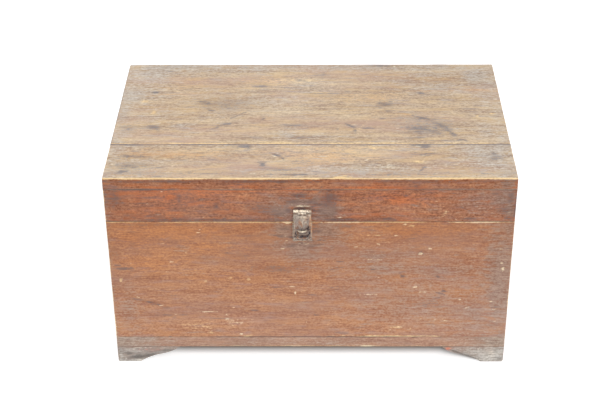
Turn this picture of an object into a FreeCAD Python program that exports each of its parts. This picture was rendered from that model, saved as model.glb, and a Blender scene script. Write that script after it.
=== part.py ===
import FreeCAD, Part
import math
import os
import re
import Sketcher

# A wooden chest on four bracket feet, with a flat lid, two butt hinges and a hasp.
# X runs along the front, +X to the right; the front faces -Y; +Z is up; millimetres.
# The origin is on the floor, in the middle of the space that the chest takes with its
# hasp at rest.

# Driving dimensions.
sizes = {
    # the case, over its outside faces
    "width": 800,
    "depth": 491,
    "height": 445,
    "foot_height": 40,
    "bottom_thick": 25,
    "rail_height": 74,
    "top_thick": 25,
    "board": 22,
    "lid_gap": 0.3,
    "arris": 2.5,
    # half-blind dovetails: tails on the ends, sockets behind a lap on front and back
    "lap": 6,
    "glue_gap": 0.1,
    "tail_width": 40,
    "tail_count": 5,
    "lid_tail_width": 24,
    "lid_tail_count": 2,
    "tail_slope": 7,
    # boards laid edge to edge
    "lid_front_board": 135,
    "bottom_board": 164,
    "seam_gap": 0.4,
    "tongue_reach": 8,
    "tongue_thick": 8,
    # bracket feet
    "foot_length": 130,
    "foot_pad": 47,
    "foot_break_across": 92,
    "foot_break_up": 20,
    "foot_cove": 118,
    "block_side": 36,
    "block_flat": 16,
    "block_lift": 2,
    # cut nails: square shank, flat head
    "nail_head": 6,
    "nail_head_thick": 1.2,
    "nail_shank": 3,
    "nail_length": 60,
    "nail_inset": 40,
    "foot_nail_length": 54,
    "brad_head": 3.2,
    "brad_head_thick": 0.8,
    "brad_shank": 2,
    "brad_length": 50,
    "fit_gap": 0.05,
    # butt hinges, axis inset from the back face
    "open_angle": 105,
    "hinge_from_end": 140,
    "hinge_inset": 6,
    "hinge_length": 63,
    "hinge_leaf": 14,
    "hinge_sheet": 2,
    "hinge_knuckle": 3.8,
    "hinge_knuckles": 5,
    "hinge_pin": 1.9,
    "knuckle_gap": 0.3,
    "pin_gap": 0.05,
    "gain_gap": 0.4,
    "hinge_screw_line": 9.5,
    "hinge_screw_pitch": 22,
    # countersunk wood screws
    "screw_head": 3,
    "screw_shank": 1.6,
    "screw_length": 16,
    "screw_point": 4,
    # hasp on the lid
    "hasp_across": -15,
    "hasp_rise": 26.5,
    "hasp_sheet": 1.5,
    "hasp_standoff": 4.3,
    "hasp_knuckle": 4,
    "hasp_barrel": 35,
    "hasp_middle_knuckle": 15,
    "hasp_pin": 2.2,
    "hasp_leaf_margin": 1,
    "hasp_screw_drop": 16,
    "hasp_screw_pitch": 18,
    "flap_width": 32,
    "flap_length": 56,
    "flap_top": 4.8,
    "flap_corner": 12,
    "flap_rest": 12,
    "slot_drop": 42,
    "slot_width": 25,
    "slot_height": 9,
    "slot_corner": 3,
    # staple and its plate on the front
    "staple_wire": 2.25,
    "staple_span": 16,
    "staple_reach": 14.5,
    "staple_bury": 16,
    "staple_drop": 15,
    "plate_width": 38,
    "plate_height": 42,
    "plate_margin": 1.5,
    "plate_screw_inset": 4.5,
}

doc = FreeCAD.newDocument("chest")
sheet = doc.addObject("Spreadsheet::Sheet", "sizes")
for row, (alias, number) in enumerate(sizes.items(), start=1):
    sheet.set(f"A{row}", alias)
    sheet.set(f"B{row}", str(number))
    sheet.setAlias(f"B{row}", alias)
doc.recompute()

# Levels and faces, as expressions of the sheet's cells.
top = "height"
rail_high = "(height - top_thick)"
joint = f"({rail_high} - rail_height)"
wall_low = "(foot_height + bottom_thick)"
wall_height = f"({joint} - {wall_low})"
wall_high = f"({joint} - lid_gap / 2)"
rail_low = f"({joint} + lid_gap / 2)"
hinge_offset = "(width / 2 - hinge_from_end)"
hinge_line = "(depth / 2 - hinge_inset)"
hasp_level = f"({joint} + hasp_rise)"
staple_level = f"({joint} - staple_drop)"
plate_level = f"({joint} - plate_margin - plate_height / 2)"
hasp_line = "(-depth / 2 - hasp_standoff)"
# A glue block's nail, from the case's corner along each wall.
block_nail = "(board + glue_gap + block_flat)"
# How far the resting flap's lower edge stands out in front of the case.
hasp_reach = ("(hasp_standoff + hasp_knuckle * cos(flap_rest)"
              " + flap_length * sin(flap_rest))")
case_shift = f"({hasp_reach} / 2)"

pieces = []
# Two points closer than this are one and the same corner.
same_place = 1e-3


def cells(text):
    """The expression with each size's name turned into its cell on the sheet."""
    return re.sub(r"[a-z][a-z_]+", lambda word: cell(word[0]), text)


def cell(word):
    return f"sizes.{word}" if word in sizes else word


def size(text):
    """The number that an expression of sizes comes to."""
    return float(sheet.evalExpression(cells(str(text))))


def place(piece, across="0", along="0", up="0", axis=(0, 0, 1), turn="0"):
    """Stand a piece in the chest: case coordinates, shifted to the middle of its space."""
    piece.Placement = FreeCAD.Placement(
        FreeCAD.Vector(), FreeCAD.Rotation(FreeCAD.Vector(*axis), size(turn)))
    piece.setExpression(".Placement.Base.x", cells(across))
    piece.setExpression(".Placement.Base.y", cells(f"{along} + {case_shift}"))
    piece.setExpression(".Placement.Base.z", cells(up))
    if turn != "0":
        piece.setExpression(".Placement.Rotation.Angle", cells(turn))


def new_body(label, **where):
    body = doc.addObject("PartDesign::Body", label)
    body.Label = label
    place(body, **where)
    pieces.append(body)
    return body


def origin_plane(body, name):
    """One of the body's own XY, XZ or YZ planes."""
    return [item for item in body.Origin.OriginFeatures if item.Role == f"{name}_Plane"][0]


def new_sketch(body, plane, offset="0"):
    """Empty sketch parallel to one of the body's origin planes, offset along its normal."""
    sketch = body.newObject("Sketcher::SketchObject", "Sketch")
    sketch.AttachmentSupport = [(origin_plane(body, plane), "")]
    sketch.MapMode = "FlatFace"
    sketch.setExpression(".AttachmentOffset.Base.z", cells(offset))
    return sketch


def pin_along(sketch, direction, edge, end, text):
    """Hold one end of an edge at an expression's distance, DistanceX or DistanceY."""
    rule = sketch.addConstraint(Sketcher.Constraint(direction, -1, 1, edge, end, size(text)))
    sketch.setExpression(f"Constraints[{rule}]", cells(text))


def pin_point(sketch, edge, end, across, up):
    """Hold one end of an edge at a place given by two expressions."""
    pin_along(sketch, "DistanceX", edge, end, across)
    pin_along(sketch, "DistanceY", edge, end, up)


def polygon(sketch, corners):
    """Closed outline of straight edges through (across, up) pairs of expressions."""
    points = [FreeCAD.Vector(size(across), size(up), 0) for across, up in corners]
    first = sketch.GeometryCount
    for start, end in zip(points, points[1:] + points[:1]):
        sketch.addGeometry(Part.LineSegment(start, end))
    for index, (across, up) in enumerate(corners):
        following = first + (index + 1) % len(corners)
        sketch.addConstraint(
            Sketcher.Constraint("Coincident", first + index, 2, following, 1))
        pin_point(sketch, first + index, 1, across, up)
    return sketch


def rectangle(sketch, left, right, low, high):
    return polygon(sketch, [(left, low), (right, low), (right, high), (left, high)])


def square(sketch, across, up, side):
    return rectangle(sketch, f"{across} - {side} / 2", f"{across} + {side} / 2",
                     f"{up} - {side} / 2", f"{up} + {side} / 2")


def many_sided(sides):
    """Maker of a regular outline whose flats all lie at a reach from its middle."""
    half_side = 180 / sides

    def outline(sketch, across, up, reach):
        corner = f"({reach}) / cos({half_side})"
        turns = [(2 * index + 1) * half_side for index in range(sides)]
        return polygon(sketch, [(f"{across} + {corner} * cos({turn})",
                                 f"{up} + {corner} * sin({turn})") for turn in turns])
    return outline


octagon = many_sided(8)
barrel = many_sided(16)


def circle(sketch, across, up, radius):
    centre = FreeCAD.Vector(size(across), size(up), 0)
    edge = sketch.addGeometry(Part.Circle(centre, FreeCAD.Vector(0, 0, 1), size(radius)))
    pin_point(sketch, edge, 3, across, up)
    rule = sketch.addConstraint(Sketcher.Constraint("Radius", edge, size(radius)))
    sketch.setExpression(f"Constraints[{rule}]", cells(radius))
    return sketch


def swept(body, kind, sketch, length):
    """Pad along the sketch's normal, or Pocket against it."""
    feature = body.newObject(f"PartDesign::{kind}", kind)
    feature.Profile = sketch
    feature.setExpression("Length", cells(length))
    doc.recompute()
    return feature


def pad(body, sketch, length):
    return swept(body, "Pad", sketch, length)


def pocket(body, sketch, length):
    before = body.Shape.Volume
    feature = swept(body, "Pocket", sketch, length)
    if body.Shape.Volume > before - 1e-6:
        raise RuntimeError(f"{body.Label}: a pocket cuts nothing")
    return feature


def repeat(body, features, sketch, axis, length, count):
    """Linear pattern of features along an axis of a sketch, over a whole length."""
    pattern = body.newObject("PartDesign::LinearPattern", "LinearPattern")
    pattern.Originals = features
    pattern.Direction = (sketch, [axis])
    pattern.setExpression("Length", cells(length))
    pattern.setExpression("Occurrences", cells(count))
    body.Tip = pattern
    doc.recompute()


def mirror(body, features, plane):
    """The same features once more, on the other side of an origin plane."""
    mirrored = body.newObject("PartDesign::Mirrored", "Mirrored")
    mirrored.Originals = features
    mirrored.MirrorPlane = (origin_plane(body, plane), [""])
    body.Tip = mirrored
    doc.recompute()


def dressed(body, kind, measure, amount, chosen):
    """Fillet or Chamfer the edges of the last feature whose two ends pass the test."""
    base = body.Tip
    names = []
    for number, edge in enumerate(base.Shape.Edges, start=1):
        if len(edge.Vertexes) == 2 and chosen(*(vertex.Point for vertex in edge.Vertexes)):
            names.append(f"Edge{number}")
    feature = body.newObject(f"PartDesign::{kind}", kind)
    feature.Base = (base, names)
    feature.setExpression(measure, cells(amount))
    doc.recompute()


def fillet(body, radius, chosen):
    dressed(body, "Fillet", "Radius", radius, chosen)


def upright_at(*lines):
    """Test for edges that stand upright on one of the given (x, y) lines."""
    def test(start, end):
        stands = abs(start.x - end.x) < 1e-6 and abs(start.y - end.y) < 1e-6
        return stands and any(math.hypot(start.x - x, start.y - y) < same_place for x, y in lines)
    return test


def through_sheet(across, up):
    """Test for edges through an upright sheet, at +across and -across on one level."""
    half, level = size(across), size(up)

    def test(start, end):
        runs = abs(start.x - end.x) < 1e-6 and abs(start.z - end.z) < 1e-6
        return runs and abs(abs(start.x) - half) < same_place and abs(start.z - level) < same_place
    return test


def outer_arris(start, end):
    """Test for the lid's worn edges: around its top, and upright at its corners."""
    half_width, half_depth, level = size("width / 2"), size("depth / 2"), size(top)
    sides = [abs(abs(start.x) - half_width) + abs(abs(end.x) - half_width) < same_place,
             abs(abs(start.y) - half_depth) + abs(abs(end.y) - half_depth) < same_place]
    level_edge = abs(start.z - level) + abs(end.z - level) < same_place
    return all(sides) or (level_edge and any(sides))


def rim(plane, level, places, reach):
    """Test for edges on a sketch plane's level that lie around one of its places."""
    height = size(level)
    middles = [(size(across), size(up)) for across, up in places]

    def around(point):
        up, rise = (point.y, point.z) if plane == "XY" else (point.z, -point.y)
        near = any(math.hypot(point.x - across, up - middle) < 1.5 * size(reach)
                   for across, middle in middles)
        return near and abs(rise - height) < same_place

    def test(start, end):
        return around(start) and around(end)
    return test


def countersink(body, plane, level, places, thick):
    """Screw holes through a plate, sunk at the level's side so that the heads lie flush."""
    hole = "screw_shank + fit_gap"
    holes(body, plane, level, places, octagon, hole, thick)
    dressed(body, "Chamfer", "Size", "screw_head - screw_shank",
            rim(plane, level, places, hole))


# ---- places that fasteners and their holes share ----

def end_rows(alongs):
    """The given places along both end boards' middles: (wall, across, along)."""
    return [(name, f"{side}(width - board) / 2", along)
            for side, name in (("-", "left"), ("", "right")) for along in alongs]


def long_rows(shares):
    """Places along the middles of front and back, as shares of the width."""
    return [(name, f"{share} * width", f"{side}(depth - board) / 2")
            for side, name in (("-", "front"), ("", "back")) for share in shares]


def nail_places():
    """Nails up through the bottom boards into the case's four walls."""
    near, far = "-depth / 2", "depth / 2"
    alongs = [f"{near} + nail_inset", f"{near} + bottom_board - nail_inset",
              f"{near} + bottom_board + nail_inset", f"{far} - bottom_board - nail_inset",
              f"{far} - bottom_board + nail_inset", f"{far} - nail_inset"]
    return end_rows(alongs) + long_rows(("-3 / 8", "-1 / 8", "1 / 8", "3 / 8"))


def brad_places():
    """Brads down through the lid's top boards into its four rails."""
    seam = "-depth / 2 + lid_front_board"
    alongs = [f"{seam} - nail_inset", f"{seam} + nail_inset", "depth / 2 - 3 * nail_inset"]
    return end_rows(alongs) + long_rows(("-2 / 5", "-1 / 5", "0", "1 / 5", "2 / 5"))


def both_signs(text):
    return [f"-({text})", f"({text})"]


def foot_nail_places():
    """One nail up through each foot's glue block."""
    return [(across, along) for across in both_signs(f"width / 2 - {block_nail}")
            for along in both_signs(f"depth / 2 - {block_nail}")]


def hinge_screw_places():
    return [(f"{side} + {step} * hinge_screw_pitch", f"{hinge_line} - hinge_screw_line")
            for side in both_signs(hinge_offset) for step in (-1, 0, 1)]


def hasp_screw_places():
    return [(f"hasp_across + {side}", f"{hasp_level} - hasp_screw_drop")
            for side in both_signs("hasp_screw_pitch / 2")]


def staple_leg_places():
    return [(f"hasp_across + {side}", staple_level) for side in both_signs("staple_span / 2")]


def plate_screw_places():
    return [(f"hasp_across + {side}", f"{plate_level} + {rise}")
            for side in both_signs("plate_width / 2 - plate_screw_inset")
            for rise in both_signs("plate_height / 2 - plate_screw_inset")]


# ---- case and lid boards ----

def tail_points(face, tip, sign, middle, width, play):
    """Tail or socket outline: narrow at the wall's inner face, wide at its tip."""
    narrow = f"({width} / 2 + {play} - (board - lap) / tail_slope)"
    wide = f"({width} / 2 + {play})"
    return [(f"{sign}{face}", f"{middle} - {narrow}"), (f"{sign}{tip}", f"{middle} - {wide}"),
            (f"{sign}{tip}", f"{middle} + {wide}"), (f"{sign}{face}", f"{middle} + {narrow}")]


def end_board(label, side, low, high, height, width, count):
    """End of the case or lid: a board whose both ends are cut into dovetails."""
    body = new_body(label)
    inner = "-width / 2" if side < 0 else "width / 2 - board"
    face = "(depth / 2 - board)"
    tip = "(depth / 2 - lap - glue_gap)"
    outline = rectangle(new_sketch(body, "YZ", inner), f"-{face}", face, low, high)
    pad(body, outline, "board")
    middle = f"({low} + {height} / {count} / 2)"
    tails = []
    for sign in ("-", ""):
        sketch = new_sketch(body, "YZ", inner)
        polygon(sketch, tail_points(face, tip, sign, middle, width, "0"))
        tails.append(pad(body, sketch, "board"))
    repeat(body, tails, sketch, "V_Axis", f"{height} * ({count} - 1) / {count}", count)
    return body


def long_board(label, side, low, high, height, width, count):
    """Front or back of the case or lid: sockets for the tails, behind a lap."""
    body = new_body(label)
    sign = "-" if side < 0 else ""
    inner = "depth / 2 - board" if side < 0 else "-depth / 2"
    outline = rectangle(new_sketch(body, "XZ", inner), "-width / 2", "width / 2", low, high)
    pad(body, outline, "board")
    outer = size(f"{sign}depth / 2")
    half = size("width / 2")
    fillet(body, "arris", upright_at((-half, outer), (half, outer)))
    middle = f"({low} + {height} / {count} / 2)"
    sockets = []
    for right in ("width / 2", "-width / 2 + board + glue_gap"):
        sketch = new_sketch(body, "YZ", right)
        polygon(sketch, tail_points("(depth / 2 - board)", "(depth / 2 - lap)", sign,
                                    middle, width, "glue_gap"))
        sockets.append(pocket(body, sketch, "board + glue_gap"))
    repeat(body, sockets, sketch, "V_Axis", f"{height} * ({count} - 1) / {count}", count)
    return body


def holes(body, plane, level, places, shape, reach, depth):
    """Pocket a hole at each (across, up) place, from a level and against its normal."""
    sketch = new_sketch(body, plane, level)
    for across, up in places:
        shape(sketch, across, up, reach)
    return pocket(body, sketch, depth)


def back_bevel(body, edge, sign):
    """Bevel the outer back edge from the hinge line, to half the opening angle."""
    rise = "(hinge_inset * tan(open_angle / 2))"
    sketch = new_sketch(body, "YZ", "width / 2")
    polygon(sketch, [(hinge_line, edge), ("depth / 2", edge),
                     ("depth / 2", f"{edge} {sign} {rise}")])
    pocket(body, sketch, "width")


def hinge_gain(body, edge, sign, screw_level):
    """Let both hinges into an edge: a bed for the leaf and a hollow for the barrel."""
    start = f"{hinge_offset} + hinge_length / 2 + gain_gap"
    run = "hinge_length + 2 * gain_gap"
    bed = new_sketch(body, "YZ", start)
    rectangle(bed, f"{hinge_line} - hinge_leaf - glue_gap", hinge_line,
              edge, f"{edge} {sign} (hinge_sheet + glue_gap)")
    cuts = [pocket(body, bed, run)]
    hollow = new_sketch(body, "YZ", start)
    circle(hollow, hinge_line, joint, "hinge_knuckle + gain_gap")
    cuts.append(pocket(body, hollow, run))
    mirror(body, cuts, "YZ")
    holes(body, "XY", screw_level, hinge_screw_places(), octagon, "screw_shank + fit_gap",
          "screw_length + fit_gap")


def plank(label, near, far, low, thick, near_edge, far_edge):
    """Board along X, from near to far; each long edge is plain, a tongue or a groove."""
    body = new_body(label)
    high = f"{low} + {thick}"
    corners = [(near, low), (far, low)]
    corners += edge_step(far_edge, far, "+", f"({low} + {thick} / 2)", ("-", "+"))
    corners += [(far, high), (near, high)]
    corners += edge_step(near_edge, near, "-", f"({low} + {thick} / 2)", ("+", "-"))
    pad(body, polygon(new_sketch(body, "YZ", "-width / 2"), corners), "width")
    return body


def edge_step(kind, face, outward, centre, levels):
    """The four corners that a tongue or groove adds to an edge, in outline order."""
    if kind == "plain":
        return []
    inward = "-" if outward == "+" else "+"
    reach = f"{face} {outward} tongue_reach"
    half = "(tongue_thick / 2)"
    if kind == "groove":
        reach = f"{face} {inward} tongue_reach"
        half = "(tongue_thick / 2 + glue_gap)"
    first, second = levels
    return [(face, f"{centre} {first} {half}"), (reach, f"{centre} {first} {half}"),
            (reach, f"{centre} {second} {half}"), (face, f"{centre} {second} {half}")]


def lying_between(places, near, far):
    """The places whose second coordinate falls between two faces."""
    return [place for place in places if size(near) < size(place[1]) < size(far)]


# ---- feet ----

def foot_profile(sketch):
    """Side view of a bracket: flat sole, hollow cove, round nose, level top."""
    sole_end = FreeCAD.Vector(size("foot_pad"), 0, 0)
    turn = FreeCAD.Vector(size("foot_break_across"), size("foot_break_up"), 0)
    tip = FreeCAD.Vector(size("foot_length"), size("foot_height"), 0)
    heel = FreeCAD.Vector(0, size("foot_height"), 0)
    sole = sketch.addGeometry(Part.LineSegment(FreeCAD.Vector(), sole_end))
    cove, slope = arc_edge(sketch, sole_end, turn, radius=size("foot_cove"))
    nose, _ = arc_edge(sketch, turn, tip, slope=slope)
    flat = sketch.addGeometry(Part.LineSegment(tip, heel))
    heel_edge = sketch.addGeometry(Part.LineSegment(heel, FreeCAD.Vector()))
    for first, end, second, start in ((sole, 2, cove, 2), (nose, 2, flat, 1),
                                      (flat, 2, heel_edge, 1), (heel_edge, 2, sole, 1)):
        sketch.addConstraint(Sketcher.Constraint("Coincident", first, end, second, start))
    sketch.addConstraint(Sketcher.Constraint("Tangent", cove, 1, nose, 1))
    rule = sketch.addConstraint(Sketcher.Constraint("Radius", cove, size("foot_cove")))
    sketch.setExpression(f"Constraints[{rule}]", cells("foot_cove"))
    pin_point(sketch, sole, 1, "0", "0")
    pin_point(sketch, sole, 2, "foot_pad", "0")
    pin_point(sketch, cove, 1, "foot_break_across", "foot_break_up")
    pin_point(sketch, flat, 1, "foot_length", "foot_height")
    pin_point(sketch, flat, 2, "0", "foot_height")
    return sketch


def arc_edge(sketch, start, end, radius=None, slope=None):
    """Arc from start to end: bending right with a radius, or left from a given slope.

    Returns the edge's number and the direction, in radians, in which the arc arrives.
    """
    chord = end - start
    heading = math.atan2(chord.y, chord.x)
    if radius:
        half_turn = -math.asin(chord.Length / 2 / radius)
    else:
        half_turn = heading - slope
        radius = chord.Length / 2 / math.sin(half_turn)
    side = math.copysign(math.pi / 2, half_turn)
    normal = heading - half_turn + side
    centre = start + FreeCAD.Vector(math.cos(normal), math.sin(normal), 0) * radius
    angles = [math.atan2(point.y - centre.y, point.x - centre.x) for point in (start, end)]
    round_edge = Part.Circle(centre, FreeCAD.Vector(0, 0, 1), radius)
    edge = sketch.addGeometry(Part.ArcOfCircle(round_edge, min(angles), max(angles)))
    return edge, heading + half_turn


def foot_bracket(label, corner, hand, turn):
    """One half of a foot, along a wall from the corner, mitred where its twin meets it."""
    across, along = corner
    body = new_body(label, across=across, along=along, turn=turn)
    sign, plane_offset = ("", "-board") if hand > 0 else ("-", "0")
    pad(body, foot_profile(new_sketch(body, "XZ", plane_offset)), "board")
    mitre = [("0", "0"), ("glue_gap", "0"), ("board + glue_gap", f"{sign}board"),
             ("0", f"{sign}board")]
    pocket(body, polygon(new_sketch(body, "XY", "foot_height"), mitre), "foot_height")


def glue_block(label, corner, turn):
    """Block behind a foot's mitre, a little short of the floor, nailed up into the bottom."""
    across, along = corner
    body = new_body(label, across=across, along=along, turn=turn)
    inner = "(board + glue_gap)"
    outer = f"({inner} + block_side)"
    flat = f"({inner} + block_flat)"
    outline = [(inner, inner), (outer, inner), (outer, flat), (flat, outer), (inner, outer)]
    pad(body, polygon(new_sketch(body, "XY", "block_lift"), outline),
        "foot_height - block_lift")
    spot = [(block_nail, block_nail)]
    holes(body, "XY", "block_lift + nail_head_thick", spot, square,
          "nail_head + 2 * fit_gap", "nail_head_thick")
    holes(body, "XY", "foot_height", spot, square, "nail_shank + 2 * fit_gap",
          "foot_height - block_lift")


# ---- hardware ----

def hinge_leaf(label, across, first_knuckle, own_count, **turned):
    """Leaf of a butt hinge about its pin: plate, knuckles with their necks, screw holes."""
    body = new_body(label, across=across, along=hinge_line, up=joint, **turned)
    low = "(-lid_gap / 2 - hinge_sheet)"
    pitch = "(hinge_length / hinge_knuckles)"
    root = "(-hinge_knuckle - knuckle_gap)"
    plate = rectangle(new_sketch(body, "XY", low), "-hinge_length / 2", "hinge_length / 2",
                      "-hinge_leaf", root)
    pad(body, plate, "hinge_sheet")
    start = f"-hinge_length / 2 + {first_knuckle} * {pitch} + knuckle_gap / 2"
    neck = rectangle(new_sketch(body, "YZ", start), root, "0", low, "-lid_gap / 2")
    parts = [pad(body, neck, f"{pitch} - knuckle_gap")]
    knuckle = barrel(new_sketch(body, "YZ", start), "0", "0", "hinge_knuckle")
    parts.append(pad(body, knuckle, f"{pitch} - knuckle_gap"))
    repeat(body, parts, knuckle, "N_Axis", f"2 * {pitch} * ({own_count} - 1)", own_count)
    bore = octagon(new_sketch(body, "YZ", "hinge_length / 2"), "0", "0", "hinge_pin + pin_gap")
    pocket(body, bore, "hinge_length")
    screws = [(f"{step} * hinge_screw_pitch", "-hinge_screw_line") for step in (-1, 0, 1)]
    countersink(body, "XY", "-lid_gap / 2", screws, "hinge_sheet")


def round_pin(label, across, along, up, radius, length):
    """Pin along X, from the given start."""
    pin = doc.addObject("Part::Cylinder", label)
    pin.Label = label
    place(pin, across=across, along=along, up=up, axis=(0, 1, 0), turn="90")
    pin.setExpression("Radius", cells(radius))
    pin.setExpression("Height", cells(length))
    pieces.append(pin)


def hasp_leaf():
    """Leaf on the lid's front, with the barrel's outer knuckles at its upper edge."""
    body = new_body("hasp_leaf", across="hasp_across", along=hasp_line, up=hasp_level)
    low = "(hasp_leaf_margin - hasp_rise)"
    half = "(hasp_barrel / 2)"
    notch = "(hasp_middle_knuckle / 2 + knuckle_gap)"
    notch_low = "(-hasp_knuckle - knuckle_gap)"
    outline = [(f"-{half}", low), (half, low), (half, "0"), (notch, "0"), (notch, notch_low),
               (f"-{notch}", notch_low), (f"-{notch}", "0"), (f"-{half}", "0")]
    pad(body, polygon(new_sketch(body, "XZ", "-hasp_standoff"), outline), "hasp_sheet")
    for start in (f"-{half}", notch):
        knuckle = barrel(new_sketch(body, "YZ", start), "0", "0", "hasp_knuckle")
        pad(body, knuckle, f"{half} - {notch}")
    bore = octagon(new_sketch(body, "YZ", half), "0", "0", "hasp_pin + pin_gap")
    pocket(body, bore, "hasp_barrel")
    screws = [(f"{side}hasp_screw_pitch / 2", "-hasp_screw_drop") for side in ("-", "")]
    countersink(body, "XZ", "hasp_sheet - hasp_standoff", screws, "hasp_sheet")


def hasp_flap():
    """Swinging flap: middle knuckle, neck, slotted plate with a round lower end."""
    body = new_body("hasp_flap", across="hasp_across", along=hasp_line, up=hasp_level,
                    axis=(1, 0, 0), turn="-flap_rest")
    half = "hasp_middle_knuckle / 2"
    inner = "(hasp_sheet - hasp_knuckle)"
    knuckle = barrel(new_sketch(body, "YZ", f"-{half}"), "0", "0", "hasp_knuckle")
    pad(body, knuckle, "hasp_middle_knuckle")
    neck = rectangle(new_sketch(body, "YZ", f"-{half}"), "-hasp_knuckle", inner,
                     "-flap_top", "0")
    pad(body, neck, "hasp_middle_knuckle")
    plate = rectangle(new_sketch(body, "XZ", f"-{inner}"), "-flap_width / 2",
                      "flap_width / 2", "-flap_length", "-flap_top")
    pad(body, plate, "hasp_sheet")
    fillet(body, "flap_corner", through_sheet("flap_width / 2", "-flap_length"))
    slot = rectangle(new_sketch(body, "XZ", "hasp_knuckle"), "-slot_width / 2",
                     "slot_width / 2", "-slot_drop - slot_height / 2",
                     "-slot_drop + slot_height / 2")
    pocket(body, slot, "hasp_sheet")
    for side in ("-", "+"):
        fillet(body, "slot_corner",
               through_sheet("slot_width / 2", f"-slot_drop {side} slot_height / 2"))
    bore = octagon(new_sketch(body, "YZ", half), "0", "0", "hasp_pin + pin_gap")
    pocket(body, bore, "hasp_middle_knuckle")


def staple():
    """Bent eight-sided rod: two legs driven into the front, joined by a half-round loop outside."""
    body = new_body("staple", across="hasp_across", along="-depth / 2", up=staple_level)
    bend = "(staple_span / 2)"
    turn = f"({bend} + staple_wire - staple_reach)"
    spine = new_sketch(body, "XY")
    ends = []
    for sign in ("-", ""):
        leg = sketch_line(spine, (f"{sign}{bend}", "staple_bury"), (f"{sign}{bend}", turn))
        ends.append(leg)
    around = Part.Circle(FreeCAD.Vector(0, size(turn), 0), FreeCAD.Vector(0, 0, 1), size(bend))
    loop = spine.addGeometry(Part.ArcOfCircle(around, math.pi, 2 * math.pi))
    spine.addConstraint(Sketcher.Constraint("Coincident", loop, 1, ends[0], 2))
    spine.addConstraint(Sketcher.Constraint("Coincident", loop, 2, ends[1], 2))
    pin_along(spine, "DistanceY", loop, 3, turn)
    wire = octagon(new_sketch(body, "XZ", "-staple_bury"), f"-{bend}", "0", "staple_wire")
    doc.recompute()
    pipe = body.newObject("PartDesign::AdditivePipe", "Pipe")
    pipe.Profile = wire
    pipe.Spine = (spine, ["Edge1", "Edge2", "Edge3"])
    doc.recompute()


def sketch_line(sketch, start, end):
    """Line whose two ends are held by expressions."""
    line = sketch.addGeometry(Part.LineSegment(
        FreeCAD.Vector(size(start[0]), size(start[1]), 0),
        FreeCAD.Vector(size(end[0]), size(end[1]), 0)))
    pin_point(sketch, line, 1, *start)
    pin_point(sketch, line, 2, *end)
    return line


def staple_plate():
    """Plate that spreads the staple's pull over the front board."""
    body = new_body("staple_plate", across="hasp_across", along="-depth / 2", up=plate_level)
    outline = rectangle(new_sketch(body, "XZ"), "-plate_width / 2", "plate_width / 2",
                        "-plate_height / 2", "plate_height / 2")
    pad(body, outline, "hasp_sheet")
    legs = [(f"{side}staple_span / 2", f"{staple_level} - {plate_level}")
            for side in ("-", "")]
    holes(body, "XZ", "hasp_sheet", legs, octagon, "staple_wire + fit_gap", "hasp_sheet")
    screws = [(f"{across}(plate_width / 2 - plate_screw_inset)",
               f"{up}(plate_height / 2 - plate_screw_inset)")
              for across in ("-", "") for up in ("-", "")]
    countersink(body, "XZ", "hasp_sheet", screws, "hasp_sheet")


# ---- fasteners: one node holds all of a kind ----

def tapered(sides, steps):
    """Flat-sided solid along -Z: each step is (reach of the ring's flats, level)."""
    turns = [(index + 0.5) * 2 * math.pi / sides for index in range(sides)]
    rings = []
    for reach, level in steps:
        corner = reach / math.cos(math.pi / sides)
        rings.append([FreeCAD.Vector(corner * math.cos(turn), corner * math.sin(turn), level)
                      for turn in turns])
    outlines = [rings[0], rings[-1]]
    for upper, lower in zip(rings, rings[1:]):
        outlines += [[upper[index - 1], upper[index], lower[index], lower[index - 1]]
                     for index in range(sides)]
    faces = [Part.Face(Part.makePolygon(outline + outline[:1])) for outline in outlines]
    return Part.makeSolid(Part.makeShell(faces))


def wood_screw():
    """Countersunk eight-sided screw along -Z, its head's face at the origin."""
    head, shank = size("screw_head"), size("screw_shank")
    length, point = size("screw_length"), size("screw_point")
    return tapered(8, [(head, 0), (shank, shank - head), (shank, point - length),
                       (shank / 5, -length)])


def cut_nail(head, head_thick, shank, length):
    """Square nail along -Z: flat head, and a shank that tapers to a blunt point."""
    underside = -size(head_thick)
    plate = tapered(4, [(size(head) / 2, 0), (size(head) / 2, underside)])
    stem = tapered(4, [(size(shank) / 2, underside), (size(shank) / 5, -size(length))])
    return plate.fuse(stem).removeSplitter()


def fasteners(label, solid, places, turn):
    """Copies of one fastener at case coordinates, each turned about X by an angle."""
    rotation = FreeCAD.Rotation(FreeCAD.Vector(1, 0, 0), turn)
    copies = []
    for across, along, up in places:
        copy = solid.copy()
        spot = FreeCAD.Vector(size(across), size(along), size(up))
        copy.Placement = FreeCAD.Placement(spot, rotation)
        copies.append(copy)
    group = doc.addObject("Part::Feature", label)
    group.Label = label
    group.Shape = Part.makeCompound(copies)
    place(group)
    pieces.append(group)


# ---- the case ----

case = (wall_low, wall_high, wall_height, "tail_width", "tail_count")
walls = {
    "left": end_board("left_end_board", -1, *case),
    "right": end_board("right_end_board", 1, *case),
    "front": long_board("front_board", -1, *case),
    "back": long_board("back_board", 1, *case),
}
for side, wall in walls.items():
    places = [(across, along) for name, across, along in nail_places() if name == side]
    holes(wall, "XY", f"{wall_low} + nail_length - bottom_thick", places, square,
          "nail_shank + 2 * fit_gap", "nail_length - bottom_thick")
back_bevel(walls["back"], wall_high, "-")
hinge_gain(walls["back"], wall_high, "-", wall_high)
holes(walls["front"], "XZ", "depth / 2", staple_leg_places(), octagon,
      "staple_wire + fit_gap", "staple_bury + fit_gap")
holes(walls["front"], "XZ", "depth / 2", plate_screw_places(), octagon,
      "screw_shank + fit_gap", "screw_length - hasp_sheet + fit_gap")

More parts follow.
